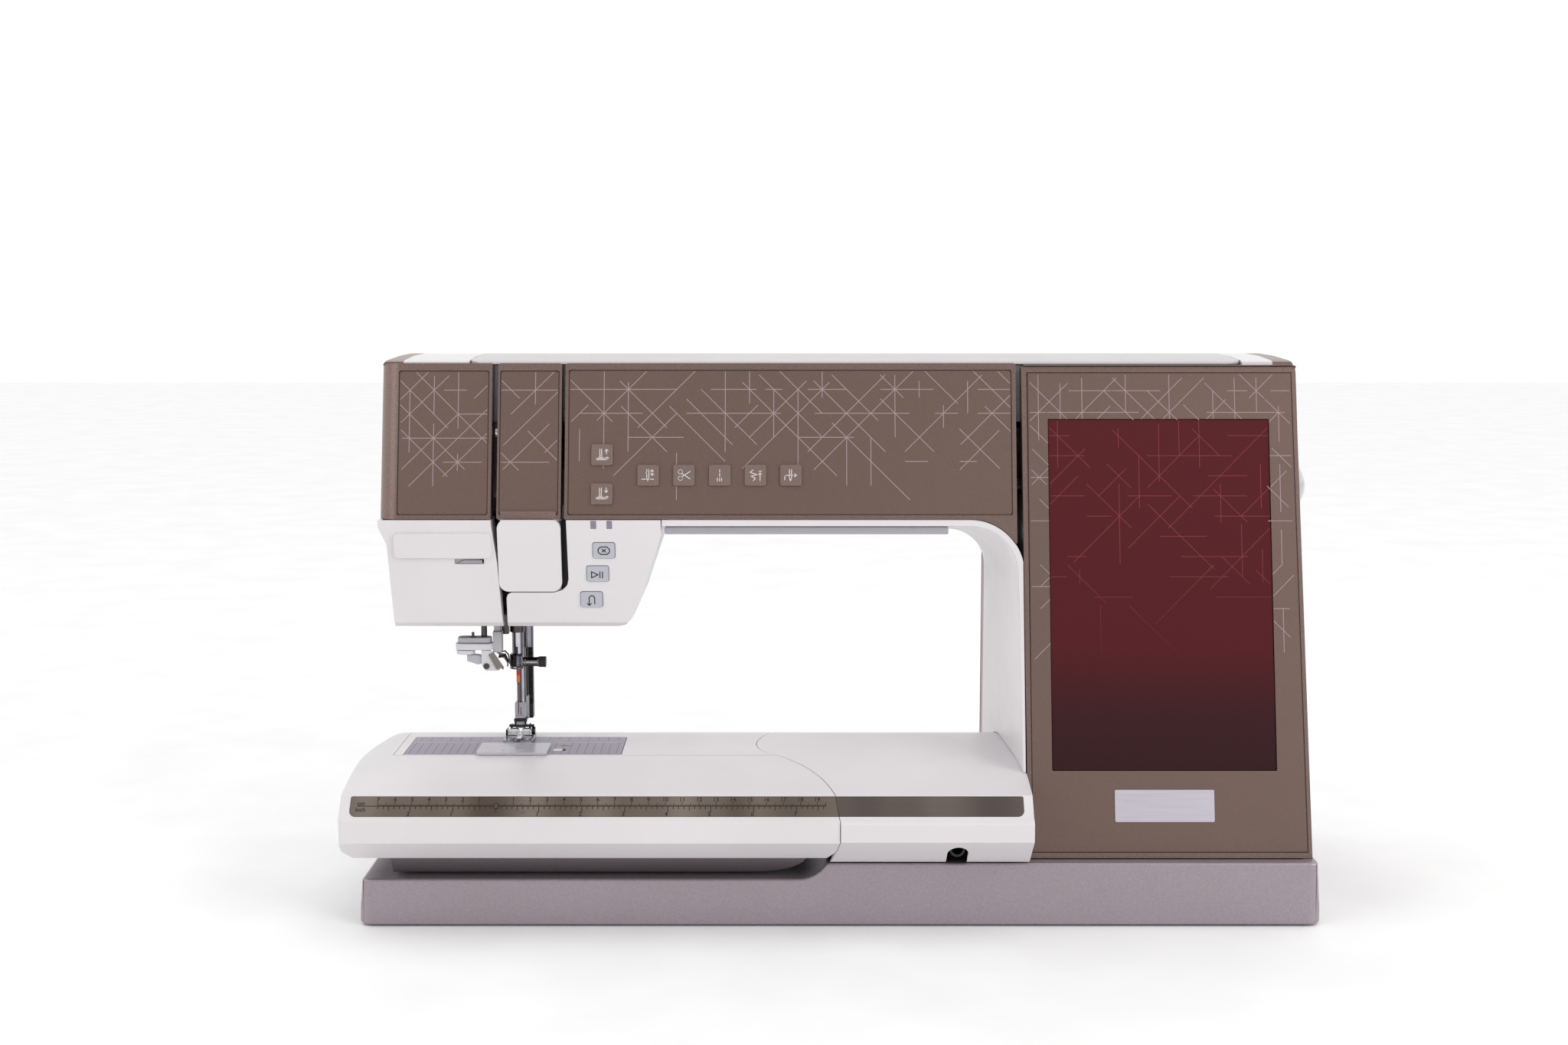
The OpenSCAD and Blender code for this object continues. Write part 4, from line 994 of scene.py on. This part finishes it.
def threader():
    """Needle threader: stepped housing on a rod, a pale carrier and a metal hook bracket."""
    mesh = bmesh.new()
    slab(mesh, rounded_box(-240.4, -13, -219, -4, 3.5), 158.8, 162.2, LEVEL)
    slab(mesh, rounded_box(-218, -12, -212.4, -3, 0.8), 152.6, 166, LEVEL)
    slab(mesh, rounded_box(-217.4, -10.5, -213.2, -3, 0.8), 166, 196, LEVEL)
    slab(mesh, [(-234.6, 151.3), (-227.2, 150.8), (-224.6, 149.6), (-224.6, 145.6), (-227.6, 144.8),
                (-234.4, 147.0)], 6, 12, UPRIGHT)
    housing = piece("threader_housing", mesh, grey_plastic, "needle_threader", 0.5)
    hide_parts("needle_threader")
    mesh = bmesh.new()
    slab(mesh, rounded_box(-241.6, -15, -217.4, -4, 4.2), 154.6, 158.6, LEVEL)
    slab(mesh, rounded_box(-241.2, -14.6, -229.5, -5, 4), 151.6, 154.2, LEVEL)
    slab(mesh, [(-225.2, 154.6), (-219.2, 154.2), (-216.6, 151.4), (-212.8, 143.2), (-214.2, 141.2),
                (-222.8, 141.2), (-225, 144.6)], 11, 13.6, UPRIGHT)
    piece("threader_carrier", mesh, pale_plastic, "needle_threader", 0.5)
    mesh = bmesh.new()
    slab(mesh, [(-220.4, 151.6), (-217.2, 153.2), (-210.8, 143.6), (-211.2, 142), (-213.4, 143.4),
                (-214.2, 142), (-215.6, 142.4)], 13.7, 14.5, UPRIGHT)
    piece("threader_bracket", mesh, bracket_metal, "needle_threader", 0.15)
    mesh = bmesh.new()
    slab(mesh, ring(-221.9, 144.2, 1.9), 13.4, 14.3, UPRIGHT)
    rod(mesh, (-224, -7, 161), (-224, -7, 196), 1.9)
    rod(mesh, (-230.8, -9, 161.5), (-230.8, -9, 165.2), 0.9)
    rod(mesh, (-230.8, -9, 162), (-230.8, -9, 162.8), 1.9)
    for bend in (((-215.4, 152.2), (-210.4, 153.6), (-208.2, 151.2), (-207.6, 145.6)),
                 ((-214.6, 149.4), (-210.6, 150.2), (-208.6, 146.4), (-208.9, 143.8))):
        wire(mesh, [(u, -11.2, z) for u, z in bend], 0.45)
    slab(mesh, [(-214.6, 152), (-210.2, 151.6), (-208, 146.4), (-209.2, 145.4), (-211.4, 148.8),
                (-214.6, 149.2)], 9.4, 10, UPRIGHT)
    piece("threader_metal", mesh, dark_chrome, "needle_threader")


def presser_parts():
    """Foot holder, the guides beside the presser bar, and black sheets that close the mouth of the head
    and the gap beside the take-up cover, painted shade for the inside of the head.
    """
    x = NEEDLE_X
    mesh = bmesh.new()
    slab(mesh, rounded_box(x - 3.9, 105.6, x + 3.3, 115.4, 0.5), -19, -11, UPRIGHT)
    slab(mesh, rounded_box(x - 3.5, 105.2, x + 2.9, 107, 0.3), -10.9, -10.2, UPRIGHT)
    slab(mesh, rounded_box(x + 2.6, 104, x + 4.4, 119, 0.4), -21, -15, UPRIGHT)
    slab(mesh, rounded_box(x - 3.3, 98.8, x + 2.8, 103.4, 0.6), -16, -10, UPRIGHT)
    holder = piece("foot_holder", mesh, foot_metal, "presser_unit", 0.3)
    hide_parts("foot_ankle")
    mesh = bmesh.new()
    slab(mesh, rounded_box(x - 4.4, 103.2, x + 4.0, 105.2, 0.4), -20, -9.6, UPRIGHT)
    for left in (x - 4.1, x + 2.4):
        slab(mesh, rounded_box(left, 99.6, left + 1.2, 103.2, 0.3), -14, -9, UPRIGHT)
    slab(mesh, rounded_box(x - 0.25, 107.4, x + 0.25, 112.6, 0.2), -11.1, -10.9, UPRIGHT)
    rod(mesh, (x + 3.4, 19.4, 112), (x + 3.4, 19.4, 168), 0.8)
    piece("foot_clevis", mesh, dark_chrome, "presser_unit", 0.2)
    mesh = bmesh.new()
    rod(mesh, (x + 4.6, 18, 151), (x + 4.6, 18, 196), 3.2, 32)
    rod(mesh, (x + 4.6, 18, 169), (x + 4.6, 18, 171.4), 3.8, 32)
    piece("presser_sleeve", mesh, sleeve_chrome, "presser_unit", 0.2)
    mesh = bmesh.new()
    rod(mesh, (x, 0, 164), (x, 0, 190), 4.6, 32)
    rod(mesh, (x + 8.4, 12, 166), (x + 8.4, 12, 190), 2.6, 24)
    slab(mesh, rounded_box(-213.2, -4, -208.9, 9, 0.6), 163, 192, LEVEL)
    slab(mesh, rounded_box(-210.2, 22, -187.4, 26, 0.6), 165, 192, LEVEL)
    piece("bar_guide", mesh, dark_chrome, BODY, 0.3)
    # Black sheets behind the head's mouth and the gap beside the take-up cover, painted shade where the
    # inside would be dark.
    mesh = bmesh.new()
    slab(mesh, rounded_box(-245, 173.2, -187, 236, 1), -39.2, -37.6, UPRIGHT)
    slab(mesh, rounded_box(-172.5, 188, -165, 240, 1), 24, 25.5, UPRIGHT)
    piece("mouth_shade_screen", mesh, black_plastic, BODY, 0.2)


def foot():
    """Clear sewing foot: two rounded toes, a bridge with upright lobes and a steel cross pin."""
    x = NEEDLE_X
    mesh = bmesh.new()
    for u0 in (x - 9.4, x + 1.5):
        slab(mesh, rounded_box(u0, -11, u0 + 7.9, 6, 2.8), 93.4, 95.4, LEVEL)
    slab(mesh, rounded_box(x - 9.4, 3, x + 9.4, 17, 2.4), 93.4, 95.4, LEVEL)
    for u0 in (x - 7.4, x + 0.7):
        slab(mesh, rounded_box(u0, 94.4, u0 + 6.7, 99.4, 1.8), -9, -5.5, UPRIGHT)
    sole = piece("clear_foot", mesh, clear_plastic, "presser_foot", 0.4)
    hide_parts("presser_foot")
    mesh = bmesh.new()
    for u0 in (x - 7.4, x + 0.7):
        outline = [(u0 + 1.2 + u, 95.6 + v) for u, v in rounded_box(0, 0, 4.3, 2.7, 0.9, 4)]
        stroke(mesh, outline + outline[:1], 0.28, -5.5, -5.42, UPRIGHT)
    piece("foot_outline", mesh, light_print, "presser_foot")
    mesh = bmesh.new()
    rod(mesh, (x - 7.6, 10.5, 100.4), (x + 8.6, 10.5, 100.4), 0.9)
    rod(mesh, (x + 7.4, 8, 97.6), (x + 9.6, 8, 97.6), 2.6, 28)
    slab(mesh, rounded_box(x - 9.2, 94.2, x - 8.0, 99, 0.5), -12, -5, UPRIGHT)
    for u in (x - 6.6, x + 5.2):
        slab(mesh, rounded_box(u, 98.4, u + 1.4, 101.6, 0.4), -12.2, -8.8, UPRIGHT)
    for u in (x - 3.4, x + 2.0):
        slab(mesh, rounded_box(u, -9.6, u + 1.4, -2.6, 0.5), 95.3, 95.7, LEVEL)
    piece("foot_pin", mesh, dark_chrome, "presser_foot", 0.15)


needle_mark()
clamp()
threader()
presser_parts()
foot()


# ---------- stage ----------

def floor():
    """Pale plain floor, wide enough to fill the view."""
    mesh = bmesh.new()
    bmesh.ops.create_grid(mesh, x_segments=2, y_segments=2, size=6)
    data = bpy.data.meshes.new("floor")
    mesh.to_mesh(data)
    mesh.free()
    data.materials.append(moulded("floor_paint", linear(252, 252, 252), 0.8, 0.01))
    obj = bpy.data.objects.new("floor", data)
    bpy.context.collection.objects.link(obj)


def lamp(name, place, target, size, power):
    """Rectangular soft lamp that faces its target."""
    data = bpy.data.lights.new(name, "AREA")
    data.shape = "RECTANGLE"
    data.size, data.size_y = size
    data.energy = power
    obj = bpy.data.objects.new(name, data)
    obj.location = place
    obj.rotation_euler = (Vector(target) - Vector(place)).to_track_quat("-Z", "Y").to_euler()
    bpy.context.collection.objects.link(obj)


def studio():
    """Large soft lamps on a pale surround that is darker on the viewer's side."""
    world = bpy.data.worlds.new("studio")
    world.use_nodes = True
    tree = world.node_tree
    background = tree.nodes["Background"]
    background.inputs["Color"].default_value = (1, 1, 1, 1)
    direction = tree.nodes.new("ShaderNodeTexCoord")
    split = tree.nodes.new("ShaderNodeSeparateXYZ")
    level = tree.nodes.new("ShaderNodeMapRange")
    for socket, value in (("From Min", -0.95), ("From Max", -0.15), ("To Min", 0.46), ("To Max", 1.09)):
        level.inputs[socket].default_value = value
    tree.links.new(direction.outputs["Generated"], split.inputs["Vector"])
    tree.links.new(split.outputs["Y"], level.inputs["Value"])
    tree.links.new(level.outputs["Result"], background.inputs["Strength"])
    bpy.context.scene.world = world
    lamp("left_lamp", (-1.6, -1.5, 1.3), (0, 0, 0.15), (1.2, 1.2), 6)
    lamp("right_lamp", (1.7, -1.5, 1.2), (0, 0, 0.15), (1.2, 1.3), 17)


def camera():
    """The viewpoint of a photographer a little above the machine and left of its middle."""
    data = bpy.data.cameras.new("camera")
    data.lens = CAMERA_LENS
    data.sensor_width = CAMERA_FILM
    obj = bpy.data.objects.new("camera", data)
    obj.location = CAMERA_PLACE
    obj.rotation_euler = (math.radians(90 - CAMERA_DOWN), 0, 0)
    bpy.context.collection.objects.link(obj)
    bpy.context.scene.camera = obj


floor()
studio()
camera()
bpy.context.scene.view_settings.view_transform = "Standard"
